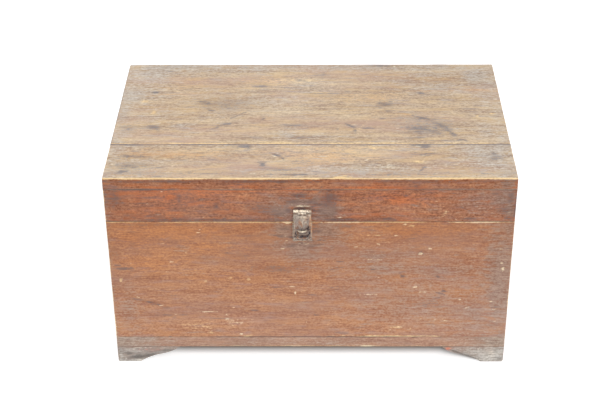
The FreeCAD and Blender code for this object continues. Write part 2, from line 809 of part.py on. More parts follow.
half_seam = "seam_gap / 2"
near_seam = "(-depth / 2 + bottom_board)"
far_seam = "(depth / 2 - bottom_board)"
for label, near, far, near_edge, far_edge in (
        ("bottom_board_front", "-depth / 2", f"{near_seam} - {half_seam}", "plain", "groove"),
        ("bottom_board_middle", f"{near_seam} + {half_seam}", f"{far_seam} - {half_seam}",
         "tongue", "tongue"),
        ("bottom_board_back", f"{far_seam} + {half_seam}", "depth / 2", "groove", "plain")):
    board = plank(label, near, far, "foot_height", "bottom_thick", near_edge, far_edge)
    outer = [(x, y) for x in (-size("width / 2"), size("width / 2"))
             for y in (-size("depth / 2"), size("depth / 2"))]
    if "middle" not in label:
        fillet(board, "arris", upright_at(*outer))
    places = lying_between([(across, along) for _, across, along in nail_places()], near, far)
    holes(board, "XY", "foot_height + nail_head_thick", places, square,
          "nail_head + 2 * fit_gap", "nail_head_thick")
    holes(board, "XY", wall_low, places, square, "nail_shank + 2 * fit_gap", "bottom_thick")
    places = lying_between([(across, along) for across, along in foot_nail_places()],
                           near, far)
    if places:
        holes(board, "XY", "block_lift + foot_nail_length", places, square,
              "nail_shank + 2 * fit_gap", "block_lift + foot_nail_length - foot_height")

corners = {
    "front_left": ("-width / 2", "-depth / 2"),
    "front_right": ("width / 2", "-depth / 2"),
    "back_right": ("width / 2", "depth / 2"),
    "back_left": ("-width / 2", "depth / 2"),
}
for quarter, (name, corner) in enumerate(corners.items()):
    # Around the case, a foot's long-wall half is right-handed at every other corner.
    faces = ("face", "side") if quarter % 2 == 0 else ("side", "face")
    foot_bracket(f"foot_{name}_{faces[0]}", corner, 1, str(90 * quarter))
    foot_bracket(f"foot_{name}_{faces[1]}", corner, -1, str(90 * (quarter + 1)))
    glue_block(f"foot_{name}_block", corner, str(90 * quarter))

fasteners("bottom_nails", cut_nail("nail_head", "nail_head_thick", "nail_shank", "nail_length"),
          [(across, along, "foot_height") for _, across, along in nail_places()], 180)
fasteners("foot_nails",
          cut_nail("nail_head", "nail_head_thick", "nail_shank", "foot_nail_length"),
          [(across, along, "block_lift") for across, along in foot_nail_places()], 180)

# ---- the lid ----

frame = (rail_low, rail_high, "rail_height", "lid_tail_width", "lid_tail_count")
rails = {
    "left": end_board("lid_left_rail", -1, *frame),
    "right": end_board("lid_right_rail", 1, *frame),
    "front": long_board("lid_front_rail", -1, *frame),
    "back": long_board("lid_back_rail", 1, *frame),
}
for side, rail in rails.items():
    places = [(across, along) for name, across, along in brad_places() if name == side]
    holes(rail, "XY", rail_high, places, square, "brad_shank + 2 * fit_gap",
          "brad_length - top_thick")
back_bevel(rails["back"], rail_low, "+")
hinge_gain(rails["back"], rail_low, "+", f"{rail_low} + screw_length + fit_gap")
holes(rails["front"], "XZ", "depth / 2", hasp_screw_places(), octagon,
      "screw_shank + fit_gap", "screw_length - hasp_sheet + fit_gap")

lid_seam = "(-depth / 2 + lid_front_board)"
for label, near, far, near_edge, far_edge in (
        ("lid_top_board_front", "-depth / 2", f"{lid_seam} - {half_seam}", "plain", "groove"),
        ("lid_top_board_back", f"{lid_seam} + {half_seam}", "depth / 2", "tongue", "plain")):
    board = plank(label, near, far, rail_high, "top_thick", near_edge, far_edge)
    fillet(board, "arris", outer_arris)
    places = lying_between([(across, along) for _, across, along in brad_places()], near, far)
    holes(board, "XY", top, places, square, "brad_head + 2 * fit_gap", "brad_head_thick")
    holes(board, "XY", top, places, square, "brad_shank + 2 * fit_gap", "top_thick")
fasteners("lid_brads", cut_nail("brad_head", "brad_head_thick", "brad_shank", "brad_length"),
          [(across, along, top) for _, across, along in brad_places()], 0)

# ---- hinges ----

for side, across in (("left", f"-{hinge_offset}"), ("right", hinge_offset)):
    hinge_leaf(f"hinge_{side}_case_leaf", across, 0, "(hinge_knuckles + 1) / 2")
    hinge_leaf(f"hinge_{side}_lid_leaf", across, 1, "(hinge_knuckles - 1) / 2",
               axis=(0, 1, 0), turn="180")
    round_pin(f"hinge_{side}_pin", f"{across} - hinge_length / 2", hinge_line, joint,
              "hinge_pin", "hinge_length")
screw = wood_screw()
fasteners("hinge_case_screws", screw,
          [(across, along, wall_high) for across, along in hinge_screw_places()], 0)
fasteners("hinge_lid_screws", screw,
          [(across, along, rail_low) for across, along in hinge_screw_places()], 180)

# ---- hasp and staple ----

hasp_leaf()
hasp_flap()
round_pin("hasp_pin", "hasp_across - hasp_barrel / 2", hasp_line, hasp_level,
          "hasp_pin", "hasp_barrel")
fasteners("hasp_leaf_screws", screw,
          [(across, "-depth / 2 - hasp_sheet", up) for across, up in hasp_screw_places()], 90)
staple_plate()
staple()
fasteners("staple_plate_screws", screw,
          [(across, "-depth / 2 - hasp_sheet", up) for across, up in plate_screw_places()], 90)

# ---- check and write ----

doc.recompute()
for item in doc.Objects:
    if "Invalid" in item.State or "Error" in item.State:
        raise RuntimeError(f"{item.Label} did not build: {item.State}")
for piece in pieces:
    if piece.Shape.isNull() or not piece.Shape.isValid():
        raise RuntimeError(f"{piece.Label} has no valid shape")

os.makedirs("parts", exist_ok=True)
for piece in pieces:
    piece.Shape.exportStep(f"parts/{piece.Label}.step")
    print(f"{piece.Label}: {len(piece.Shape.Solids)} solid, {piece.Shape.Volume:.0f} mm3")
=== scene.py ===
import math
import bmesh
import bpy
import numpy as np
from mathutils import Matrix, Vector


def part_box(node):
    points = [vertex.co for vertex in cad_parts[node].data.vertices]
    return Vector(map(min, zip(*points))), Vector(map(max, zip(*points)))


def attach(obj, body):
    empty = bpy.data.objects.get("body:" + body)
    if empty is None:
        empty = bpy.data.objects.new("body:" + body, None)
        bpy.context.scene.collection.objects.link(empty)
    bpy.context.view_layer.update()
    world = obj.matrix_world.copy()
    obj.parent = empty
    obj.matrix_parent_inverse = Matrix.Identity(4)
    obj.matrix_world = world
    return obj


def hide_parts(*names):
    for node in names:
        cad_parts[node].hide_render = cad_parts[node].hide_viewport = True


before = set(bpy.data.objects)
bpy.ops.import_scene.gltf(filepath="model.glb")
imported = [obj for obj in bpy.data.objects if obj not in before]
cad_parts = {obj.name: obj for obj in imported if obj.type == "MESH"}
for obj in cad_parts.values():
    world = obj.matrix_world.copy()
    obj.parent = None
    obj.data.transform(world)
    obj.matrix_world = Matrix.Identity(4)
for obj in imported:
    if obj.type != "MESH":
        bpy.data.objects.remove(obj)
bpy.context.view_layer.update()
mm = 0.001
scene = bpy.context.scene

# camera: where it stands and how it is turned
shot = {"place": (0.0158, -2.5760, 1.8446), "pitch": -32.03, "yaw": 0.575, "roll": -0.319,
        "focal": 1422.6, "frameWidth": 612, "sensor": 36.0}
cameraData = bpy.data.cameras.new("camera")
cameraData.sensor_width = shot["sensor"]
cameraData.lens = shot["focal"] * shot["sensor"] / shot["frameWidth"]
camera = bpy.data.objects.new("camera", cameraData)
camera.matrix_world = (Matrix.Translation(shot["place"])
                       @ Matrix.Rotation(math.radians(shot["yaw"]), 4, "Z")
                       @ Matrix.Rotation(math.radians(90 + shot["pitch"]), 4, "X")
                       @ Matrix.Rotation(math.radians(shot["roll"]), 4, "Z"))
scene.collection.objects.link(camera)
scene.camera = camera


# colours and nodes

def paint(red, green, blue):
    # screen colour 0-255 turned to linear light
    shares = [value / 255 for value in (red, green, blue)]
    return tuple(s / 12.92 if s <= 0.04045 else ((s + 0.055) / 1.055) ** 2.4
                 for s in shares) + (1.0,)


class Wire:
    # a node's output that adds, subtracts and multiplies like a number
    def __init__(self, socket):
        self.socket, self.tree = socket, socket.id_data

    def __add__(self, other):
        return reckon("ADD", self, other)

    def __sub__(self, other):
        return reckon("SUBTRACT", self, other)

    def __rsub__(self, other):
        return reckon("SUBTRACT", other, self)

    def __mul__(self, other):
        return reckon("MULTIPLY", self, other)


def put(socket, value):
    # a wire is joined on, and a screen colour is painted on
    if isinstance(value, Wire):
        value.tree.links.new(value.socket, socket)
    else:
        socket.default_value = paint(*value) if socket.type == "RGBA" else value


def add(tree, kind, inputs=(), output=0, **settings):
    node = tree.nodes.new("ShaderNode" + kind)
    for name, value in settings.items():
        setattr(node, name, value)
    for name, value in dict(inputs).items():
        put(node.inputs[name], value)
    return Wire(node.outputs[output])


def reckon(operation, first, second=0.0):
    tree = (first if isinstance(first, Wire) else second).tree
    return add(tree, "Math", {0: first, 1: second}, operation=operation)


def blend(share, first, second, how="MIX"):
    return add(share.tree, "Mix", {0: share, 6: first, 7: second}, 2, data_type="RGBA",
               blend_type=how, clamp_factor=True)


def ramp(share, stops):
    # stops: rows of position and screen colour
    wire = add(share.tree, "ValToRGB", {0: share})
    elements = wire.socket.node.color_ramp.elements
    while len(elements) < len(stops):
        elements.new(0.5)
    for element, (position, *colour) in zip(elements, stops):
        element.position, element.color = position, paint(*colour)
    return wire


def between(value, low, high):
    # 0 below low, 1 above high, a straight line between them
    return add(value.tree, "MapRange", {"Value": value, "From Min": low, "From Max": high},
               clamp=True)


def vectors(operation, first, second):
    name = "Scale" if operation == "SCALE" else 1
    tree = (first if isinstance(first, Wire) else second).tree
    return add(tree, "VectorMath", {0: first, name: second}, operation=operation)


def streaks(vector, scale, detail, roughness):
    # noise on the vector times a scale of its own along each axis
    return add(vector.tree, "TexNoise", {"Vector": vectors("MULTIPLY", vector, scale),
                                         "Scale": 1.0, "Detail": detail,
                                         "Roughness": roughness})


def attribute(tree, name, output="Fac"):
    return add(tree, "Attribute", output=output, attribute_name=name)


def newFinish(name):
    material = bpy.data.materials.new(name)
    material.use_nodes = True
    return material, material.node_tree, material.node_tree.nodes["Principled BSDF"].inputs


# wood

def woodColour(noises, look):
    tree, shares = noises["broad"].tree, look["shares"]
    tone = noises["broad"] * shares["broad"]
    for name in ("lines", "dashes", "mottle"):
        tone = tone + noises[name] * shares[name]
    colour = ramp(tone, look["tones"])
    for name in ("cloud", "haze", "gold"):
        colour = blend(between(noises[name], *look[name + "Range"]) * shares[name], colour,
                       look[name])
    colour = blend(between(noises["hair"], 0.62, 0.36) * shares["hair"], colour, look["pore"],
                   "MULTIPLY")

    # marks of wear and stain, some of them painted shade: an attribute plus noise, so that its
    # border falls apart into flecks;
    # rows of kind, start and end of its share, most, break-up, what turns its colours, places
    ragged = noises["dashes"] * 0.4 + noises["lines"] * 0.25 + noises["mottle"] * 0.35
    for kind, low, high, most, breakUp, cause, *stops in (
            ("warm", 0.2, 1.0, 0.75, 4, tone, 0.4, 0.6),
            ("grey", 0.2, 1.0, 0.8, 5, ragged, 0.42, 0.58),
            ("bare", 0.25, 0.8, 1.0, 2.5, tone, 0.38, 0.62),
            ("dark", 0.3, 0.75, 0.9, 5.5, ragged, 0.42, 0.58),
            ("pale", 0.3, 0.75, 0.9, 3, None)):
        field = attribute(tree, kind)
        share = between(field + (ragged - 0.5) * breakUp, low, high) * between(field, 0.04, 0.2)
        worn = look[kind]
        if cause:
            worn = ramp(cause, [(stop, *colour) for stop, colour in zip(stops, worn)])
        colour = blend(share * most, colour, worn)
    # tone shift: each channel is scaled by 1 + shift * its own share, so low is deeper and warmer
    fade = vectors("SCALE", (0.11, 0.18, 0.25), attribute(tree, "fade"))
    colour = vectors("MULTIPLY", colour, vectors("ADD", fade, (1, 1, 1)))
    specks = between(noises["fleck"], *look["speckRange"])
    return blend(specks * shares["speck"], colour, look["pale"])


def woodFinish(name, look, edgeLook=None, onObject=False):
    material, tree, shader = newFinish(name)
    # metres: along, across, through the grain
    grain = (add(tree, "TexCoord", output="Object") if onObject
             else attribute(tree, "grain", "Vector"))
    noises = {layer: streaks(grain, scale, detail, 0.62)
              for layer, (detail, scale) in look["layers"].items()}
    colour = woodColour(noises, look)
    if edgeLook:
        colour = blend(attribute(tree, "stained"), colour, woodColour(noises, edgeLook))
    put(shader["Base Color"], colour)
    put(shader["Roughness"], (noises["lines"] - 0.5) * 0.25 + look["roughness"])
    put(shader["Specular IOR Level"], look["gloss"])
    put(shader["Normal"], add(tree, "Bump", {
        "Strength": look["bump"], "Distance": 0.0006,
        "Height": noises["lines"] * 0.6 + noises["hair"] * 0.4}))
    return material


stainedLook = {
    # each layer of noise: its detail, and its scale along, across and through the grain
    "layers": {"broad": (5, (4, 34, 34)), "lines": (4, (14, 440, 440)),
               "dashes": (3, (56, 380, 380)), "mottle": (4, (220, 300, 300)),
               "hair": (2, (60, 1500, 1500)), "cloud": (5, (4, 14, 14)),
               "haze": (4, (20, 110, 110)), "gold": (4, (13, 75, 75)),
               "fleck": (3, (180, 420, 420))},
    "tones": [(0.34, 134, 84, 62), (0.44, 164, 110, 82), (0.51, 186, 134, 100),
              (0.59, 204, 156, 118), (0.69, 222, 184, 146)],
    "shares": {"broad": 0.2, "lines": 0.18, "dashes": 0.24, "mottle": 0.38, "cloud": 0.55,
               "haze": 0.4, "gold": 0.38, "hair": 0.4, "speck": 0.7},
    "cloud": (166, 128, 112), "cloudRange": (0.46, 0.66),
    "haze": (178, 150, 142), "hazeRange": (0.52, 0.66),
    "gold": (204, 146, 98), "goldRange": (0.52, 0.66), "pore": (190, 165, 150),
    "warm": ((172, 104, 62), (208, 146, 94)),
    "grey": ((124, 100, 90), (172, 148, 134)),
    "bare": ((196, 158, 112), (236, 206, 160)),
    "dark": ((88, 78, 80), (136, 108, 98)),
    "pale": (240, 222, 188), "speckRange": (0.72, 0.79),
    "roughness": 0.55, "gloss": 0.35, "bump": 0.35,
}
lidFrontLook = dict(
    stainedLook,
    tones=[(0.34, 92, 52, 38), (0.44, 133, 81, 57), (0.51, 166, 111, 80),
           (0.59, 193, 140, 103), (0.69, 218, 174, 133)],
    shares=dict(stainedLook["shares"], gold=0.6, haze=0.45),
    cloud=(138, 102, 90), haze=(150, 122, 116), gold=(192, 112, 66),
    warm=((164, 84, 46), (204, 118, 66)),
    grey=((104, 84, 74), (150, 126, 112)),
    dark=((72, 60, 62), (120, 94, 86)))
topLook = dict(
    stainedLook,
    tones=[(0.36, 134, 111, 94), (0.45, 171, 148, 128), (0.51, 203, 182, 157),
           (0.57, 221, 201, 170), (0.66, 240, 224, 194)],
    shares=dict(stainedLook["shares"], broad=0.25, lines=0.2, dashes=0.25, mottle=0.3,
                cloud=0.75, haze=0.42, gold=0.36),
    cloud=(190, 160, 144), haze=(178, 172, 172), hazeRange=(0.53, 0.66),
    gold=(226, 196, 146), goldRange=(0.5, 0.64),
    warm=((190, 142, 104), (228, 188, 138)),
    grey=((150, 140, 132), (206, 200, 192)),
    bare=((214, 180, 128), (246, 220, 172)),
    dark=((90, 88, 96), (144, 136, 134)),
    pale=(232, 220, 196), pore=(205, 185, 168), roughness=0.7, gloss=0.25)
footLook = dict(
    stainedLook,
    tones=[(0.34, 112, 106, 104), (0.44, 150, 144, 140), (0.51, 175, 170, 164),
           (0.59, 195, 192, 187), (0.69, 222, 219, 214)],
    cloud=(158, 146, 138), haze=(190, 192, 192), gold=(190, 168, 150),
    warm=((200, 88, 70), (238, 132, 108)),
    grey=((170, 162, 152), (216, 212, 206)),
    dark=((86, 86, 88), (136, 128, 120)),
    pale=(232, 226, 216), roughness=0.75, gloss=0.2)
bottomLook = dict(
    stainedLook,
    tones=[(0.34, 140, 101, 85), (0.44, 170, 129, 108), (0.51, 189, 152, 130),
           (0.59, 206, 173, 150), (0.69, 224, 197, 173)],
    cloud=(162, 134, 120), haze=(182, 164, 156), gold=(198, 152, 120),
    grey=((126, 110, 100), (186, 170, 156)),
    dark=((70, 60, 54), (112, 90, 78)))
stainedWood = woodFinish("stained_wood", stainedLook)
lidFrontWood = woodFinish("lid_stained_wood", lidFrontLook)
topWood = woodFinish("worn_top_wood", topLook, edgeLook=lidFrontLook)
footWood = woodFinish("foot_wood", footLook, edgeLook=bottomLook)
bottomWood = woodFinish("bottom_wood", bottomLook)
blockWood = woodFinish("block_wood", footLook, onObject=True)


# iron

def ironFinish(name, look):
    material, tree, shader = newFinish(name)
    place = add(tree, "TexCoord", output="Object")
    coarse = streaks(place, (140, 140, 140), 5, 0.65)
    fine = streaks(place, (900, 900, 900), 4, 0.7)
    pits = add(tree, "TexVoronoi", {"Vector": place, "Scale": 700.0}, "Distance")
    rust = between(coarse + (fine - 0.5) * 0.5, *look["rustRange"])
    colour = blend(rust, ramp(fine, look["steel"]), ramp(fine, look["rust"]))
    # rub is worn bright metal together with painted highlights; soot is dirt together with painted
    # shade in gaps and round the slot
    for kind, most in (("rub", 0.9), ("bloom", 0.9), ("soot", 0.85)):
        colour = blend(attribute(tree, kind) * most, colour, look[kind])
    put(shader["Base Color"], colour)
    put(shader["Metallic"], look["metal"])
    put(shader["Roughness"], rust * 0.35 + 0.42)
    put(shader["Normal"], add(tree, "Bump", {"Strength": 0.35, "Distance": 0.0003,
                                             "Height": fine + pits * 0.6}))
    return material


ironLook = {
    "steel": [(0.3, 106, 93, 86), (0.55, 156, 141, 130), (0.75, 200, 185, 168)],
    "rust": [(0.3, 98, 66, 50), (0.6, 158, 108, 78)], "rustRange": (0.46, 0.66),
    "rub": (236, 222, 198), "soot": (44, 36, 38), "bloom": (220, 146, 84), "metal": 0.35,
}
rustedIron = ironFinish("rusted_iron", ironLook)
nailIron = ironFinish("nail_iron", dict(ironLook, metal=0.1, steel=[
    (0.3, 112, 96, 84), (0.55, 142, 124, 108), (0.75, 168, 150, 130)]))
# heads under old wax and dust
bradIron = ironFinish("brad_iron", dict(
    ironLook, steel=[(0.3, 168, 146, 122), (0.55, 190, 168, 142), (0.75, 206, 186, 158)],
    rust=[(0.3, 150, 120, 96), (0.6, 182, 150, 122)], metal=0.0))
# body, slot and finish of the larger boards
caseWood, lidWood = ("chest", "stained_wood", stainedWood), ("lid", "stained_wood", lidFrontWood)
lidTop = ("lid", "worn_top_wood", topWood)
print("finishes made")


# board surfaces

def softNoise(places, seed):
    # random heights on the corners of unit cells, eased between them by 3t2 - 2t3
    cell = np.floor(places).astype(np.int64)
    part = places - cell
    part = part * part * (3 - 2 * part)
    total = np.zeros(len(places))
    for corner in range(8):
        step = np.array([corner & 1, corner >> 1 & 1, corner >> 2 & 1])
        mixed = (cell + step) @ np.array([73856093, 19349663, 83492791]) + seed * 7919
        mixed = ((mixed ^ (mixed >> 13)) * 1274126177) & 0xffffffff
        mixed = ((mixed ^ (mixed >> 15)) * 668265263) & 0xffffffff
        height = ((mixed ^ (mixed >> 16)) & 0xffff) / 65535
        total += height * np.prod(np.where(step, part, 1 - part), axis=1)
    return total * 2 - 1


def layered(places, seed, octaves=3):
    # each layer twice as fine and half as high as the one before
    return sum(softNoise(places * 2 ** k, seed + k) / 2 ** k for k in range(octaves))


def ticks(low, high, cell, rim):
    # steps along one side: close together near both ends, even between
    near = [step for step in rim if step < (high - low) / 2 - cell * 0.3]
    start, stop = low + near[-1], high - near[-1]
    middle = np.linspace(start, stop, max(2, int(round((stop - start) / cell)) + 1))
    ends = np.array(near[:-1])
    return np.concatenate([low + ends, middle, (high - ends)[::-1]])


def latticeShell(axes):
    # the six faces of a block of grid points, sharing the points on its edges
    counts = [len(axis) for axis in axes]
    quads = []
    for axis in range(3):
        first, second = [k for k in range(3) if k != axis]
        i, j = np.meshgrid(np.arange(counts[first] - 1), np.arange(counts[second] - 1),
                           indexing="ij")
        for side in (0, counts[axis] - 1):
            index = np.empty((4, i.size, 3), np.int64)
            index[:, :, axis] = side
            for corner, (di, dj) in enumerate(((0, 0), (1, 0), (1, 1), (0, 1))):
                index[corner, :, first] = i.ravel() + di
                index[corner, :, second] = j.ravel() + dj
            corners = (index[..., 0] * counts[1] + index[..., 1]) * counts[2] + index[..., 2]
            # first x second points along +axis for x and z, along -axis for y
            outward = (side > 0) != (axis == 1)
            quads.append((corners if outward else corners[::-1]).T)
    used, faces = np.unique(np.concatenate(quads), return_inverse=True)
    i, j, k = np.unravel_index(used, counts)
    return np.stack([axes[0][i], axes[1][j], axes[2][k]], axis=1), faces.reshape(-1, 4)


def rounded(points, low, high, radius):
    # inside the box shrunk by the radius a point keeps its place, and outside it the
    # point moves to that box's nearest point plus the radius, outwards
    core = np.clip(points, low + radius, high - radius)
    away = points - core
    length = np.maximum(np.linalg.norm(away, axis=1, keepdims=True), 1e-9)
    return core + away / length * radius, away / length, length


def newObject(name, data):
    item = bpy.data.objects.new(name, data)
    scene.collection.objects.link(item)
    return item


def pieceFrom(name, points, faces, fields):
    # fields: named values or vectors, one for each point
    mesh = bpy.data.meshes.new(name)
    mesh.from_pydata(points.tolist(), [], faces)
    mesh.polygons.foreach_set("use_smooth", np.full(len(mesh.polygons), True))
    mesh.update()
    for field, values in fields.items():
        kind, slot = ("FLOAT_VECTOR", "vector") if values.ndim == 2 else ("FLOAT", "value")
        layer = mesh.attributes.new(field, kind, "POINT")
        layer.data.foreach_set(slot, values.astype(np.float32).ravel())
    return newObject(name, mesh)


def finishPiece(piece, node, body, slot, material):
    piece.data.materials.clear()
    piece.data.materials.append(material)
    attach(piece, body)
    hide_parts(node)


def spot(u, v, mark):
    # 1 in the middle of a turned ellipse with a wavy outline, falling as
    # exp(-distance^power) outwards
    at, size, turn = mark["at"], mark["size"], math.radians(mark["turn"])
    du, dv = u - at[0] * mm, v - at[1] * mm
    along = (du * math.cos(turn) + dv * math.sin(turn)) / (size[0] * mm)
    across = (dv * math.cos(turn) - du * math.sin(turn)) / (size[1] * mm)
    distance = np.sqrt(along ** 2 + across ** 2)
    value = np.zeros(len(u))
    near = distance < 3
    ragged = layered(np.stack([u[near] * 90, v[near] * 200, u[near] * 0 + at[0]], 1), 71, 3)
    value[near] = np.exp(-(distance[near] * (1 + 0.45 * ragged)) ** mark["power"])
    return mark["strength"] * value


def mark(kind, u, v, halfLong, halfWide, strength=1.0, turn=0, power=2):
    return {"kind": kind, "at": (u, v), "size": (halfLong, halfWide), "turn": turn,
            "strength": strength, "power": power}


def marks(**table):
    # kind: rows of middle (along, across), half length, half width, strength, turn, ...
    return [mark(kind, *row) for kind, rows in table.items() for row in rows]


plainBoard = {"cell": 4 * mm, "arris": 2.0 * mm, "uneven": 0.35, "ridge": 0.07 * mm,
              "swell": 0.12 * mm, "wave": 6 * mm, "bareEdge": 0.35, "inside": 0.9,
              "faces": (), "edges": (), "knots": (), "marks": (), "frontMarks": (),
              "bands": (), "stainedEdges": False}
# how often each noise changes in a metre, in all directions or along, across and through
rates = {"arris": 28, "edge": 22, "wave": (2.2, 5, 2), "ridge": (9, 240, 90),
         "swell": (9, 16, 9), "patch": 30, "band": (16, 30, 30)}
edgeReach, knotLonger = 12 * mm, 2.2


# along, across and through a board, as 0, 1, 2 for x, y, z
facingY, facingX, lying = (0, 2, 1), (1, 2, 0), (0, 1, 2)


def board(name, node, axes, look):
    # axes: how the board stands, with +1 or -1 for the side of its outer face
    look = dict(plainBoard, **look)
    (alongAxis, acrossAxis, throughAxis), outward = axes
    low, high = [np.array(corner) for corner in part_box(node)]
    for axis, side, level in look["faces"]:
        (high if side > 0 else low)[axis] = level * mm
    rim = [0, 0.5 * mm, 1.1 * mm, 1.9 * mm, 3.0 * mm, 4.6 * mm]
    cells = np.broadcast_to(look["cell"], 3)
    points, faces = latticeShell([ticks(low[k], high[k], cells[k], rim) for k in range(3)])
    seed = look["seed"]

    # each noise has a seed of its own
    radius = look["arris"] * (1 + look["uneven"] * layered(points * rates["arris"], seed, 2))
    for axis, side, value in look["edges"]:
        face = high[axis] if side > 0 else low[axis]
        near = np.clip(1 - np.abs(points[:, axis] - face) / edgeReach, 0, 1)
        radius = radius * (1 - near) + near * value * (
            1 + look["uneven"] * layered(points * rates["edge"], seed + 5, 2))
    radius = np.clip(radius, 0.3 * mm, 0.45 * (high - low).min())[:, None]
    points, direction, length = rounded(points, low, high, radius)
    onEdge = np.clip((length[:, 0] / radius[:, 0] - 1) * 6, 0, 1)
    if "reshape" in look:
        points = look["reshape"](points)

    grid = points[:, [alongAxis, acrossAxis, throughAxis]]
    along, across, through = grid.T
    facing = np.clip(direction[:, throughAxis] * outward, 0, 1)
    inner = np.clip(-direction[:, throughAxis] * outward, 0, 1)

    # the grain's own across-coordinate: waves, and lines pushed aside by each knot
    grain = grid.copy()
    grain[:, 1] += look["wave"] * layered(grid * rates["wave"], seed + 11)
    for u, v, reach in look["knots"]:
        near = spot(along / knotLonger, across, mark("knot", u / knotLonger, v, reach, reach))
        grain[:, 1] -= (across - v * mm) * near * 0.8

    # relief: soft waves, and fine ridges that follow the grain
    ridges = softNoise(grain * rates["ridge"], seed + 21)
    swell = layered(grid * rates["swell"], seed + 31, 2)
    height = look["ridge"] * (ridges - 1) + look["swell"] * (swell - 1)
    wear = {kind: np.zeros(len(points)) for kind in ("dark", "pale", "grey", "warm", "bare")}
    for key, u, v, share in (("marks", along, across, facing ** 0.5),
                             ("frontMarks", points[:, 0], points[:, 2],
                              np.clip(-direction[:, 1], 0, 1))):
        for each in look[key]:
            wear[each["kind"]] = np.maximum(wear[each["kind"]], spot(u, v, each) * share)
    height = height * (1 - 0.8 * inner)
    points = points + direction * height[:, None]

    # arrises: bare wood on the outer edges, broken by noise, with dirt and some painted shade
    # beside it in bands
    patch = layered(points * rates["patch"], seed + 41)
    bareEdge = onEdge * look["bareEdge"] * np.clip(0.75 + 0.6 * patch, 0, 1.2)
    if "bareAbove" in look:
        bareEdge = bareEdge * np.clip((points[:, 2] - look["bareAbove"]) / mm, 0, 1)
    wear["bare"] = np.maximum(wear["bare"], bareEdge)
    for kind, lines, width, strength in look["bands"]:
        # strongest on a plane or line given by one or two coordinates
        distance = sum((points[:, axis] - at * mm) ** 2 for axis, at in lines.items())
        share = np.exp(-distance / (width * mm) ** 2) * strength
        share = share * np.clip(
            0.75 + 0.45 * layered(grid * rates["band"], seed + 51), 0, 1.2)
        if len(lines) == 1 and kind != "bare":
            share = share * facing
        wear[kind] = np.maximum(wear[kind], share)
    wear["bare"] = np.maximum(wear["bare"], look["inside"] * inner)

    fields = {kind: np.clip(values, 0, 1.5) for kind, values in wear.items()}
    # no two boards take the same stretch of the finish's noise
    fields["grain"] = grain + np.array([0.37, 0.61, 0]) * seed
    if "fadeSpots" in look:
        # tone shift and painted light: (axis, low mm, high mm, value at low, value at high), added
        # up, and soft spots
        values = np.zeros(len(points))
        for axis, first, last, start, end in look.get("fade", ()):
            values = values + (start + (end - start) * np.clip(
                (points[:, axis] / mm - first) / (last - first), 0, 1))
        for soft in look["fadeSpots"]:
            values = values + spot(along, across, mark("fade", *soft))
        fields["fade"] = values * facing + 0.15 * patch
    if "stainedAbove" in look:
        low, high, most = look["stainedAbove"]
        level = (points[:, 2] / mm - low) / (high - low) + 0.5 * patch
        fields["stained"] = np.clip(level, 0, 1) * most
    if look["stainedEdges"]:
        level = np.clip(1.15 - 1.6 * direction[:, throughAxis] * outward + 0.25 * patch, 0, 1)
        fields["stained"] = np.where(inner > 0.2, 0, level)
    return pieceFrom(name, points, faces.tolist(), fields)


def prism(axis, start, stop, outline):
    # an outline in the other two axes, carried from start to stop
    return [[tuple(np.insert(corner, axis, level)) for corner in outline]
            for level in (start, stop)]


def rectangle(y, z):
    # between two levels (mm) of y and of z
    return [(y[k] * mm, z[l] * mm) for k, l in ((0, 0), (1, 0), (1, 1), (0, 1))]


def groove(y, z):
    return prism(0, -0.41, 0.41, rectangle(y, z))


def cutWith(piece, prisms):
    # prisms: convex solids as lists of two matching outlines, clear of each other
    maker = bmesh.new()
    for rings in prisms:
        near, far = [[maker.verts.new(point) for point in ring] for ring in rings]
        maker.faces.new(near)
        maker.faces.new(far)
        for index in range(len(near)):
            maker.faces.new([near[index - 1], near[index], far[index], far[index - 1]])
    bmesh.ops.recalc_face_normals(maker, faces=maker.faces)
    cutter = newObject("cutter", bpy.data.meshes.new("cutter"))
    maker.to_mesh(cutter.data)
    maker.free()
    combine(piece, cutter, "DIFFERENCE")


def combine(piece, other, operation):
    modifier = piece.modifiers.new("cut", "BOOLEAN")
    modifier.operation, modifier.object, modifier.solver = operation, other, "MANIFOLD"
    cooked = piece.evaluated_get(bpy.context.evaluated_depsgraph_get())
    result = bpy.data.meshes.new_from_object(cooked)
    result.name = piece.name
    piece.modifiers.clear()
    spares = piece.data, other.data
    piece.data = result
    bpy.data.objects.remove(other)
    for mesh in spares:
        bpy.data.meshes.remove(mesh)


def tongue(piece, node, axes, look, faces):
    # the tongue is a strip of the same board, run a little way into it
    plain = {"faces": faces, "arris": 0.5 * mm, "bareEdge": 0, "cell": 4 * mm,
             "edges": (), "marks": (), "bands": (), "stainedEdges": False,
             "stainedAbove": (0, 1, 1)}
    combine(piece, board("strip", node, axes, dict(look, **plain)), "UNION")


# the case and the lid

frontFace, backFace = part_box("front_board")[0].y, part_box("back_board")[1].y
halfWide = 0.4
# board, lap, gap and past (how far a cutter reaches over a face) in metres; 1 in slope
dovetail = {"board": 22 * mm, "lap": 6 * mm, "gap": 0.18 * mm, "past": 2 * mm, "slope": 7}
tailRows = {"case": {"low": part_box("front_board")[0].z, "width": 40 * mm, "count": 5,
                     "high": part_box("front_board")[1].z + 0.15 * mm},
            "lid": {"low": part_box("lid_front_rail")[0].z - 0.15 * mm, "width": 24 * mm,
                    "count": 2, "high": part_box("lid_front_rail")[1].z}}


def socketPrisms(kind, side, end):
    # room for the tails of one end (side -1 left, +1 right) in the front (-1) or back (+1)
    row, wall = tailRows[kind], frontFace if end < 0 else backFace
    inner, lap, grow, past, slope = (dovetail[name] for name in
                                     ("board", "lap", "gap", "past", "slope"))
    faceY, tipY = wall - end * (inner + past), wall - end * (lap - grow)
    narrow = row["width"] / 2 - (inner + past - lap) / slope + grow
    wide = row["width"] / 2 + grow
    prisms = []
    for index in range(row["count"]):
        middle = row["low"] + (row["high"] - row["low"]) / row["count"] * (index + 0.5)
        outline = [(faceY, middle - narrow), (tipY, middle - wide), (tipY, middle + wide),
                   (faceY, middle + narrow)]
        prisms.append(prism(0, side * (halfWide - inner - grow), side * (halfWide + past),
                            outline))
    return prisms


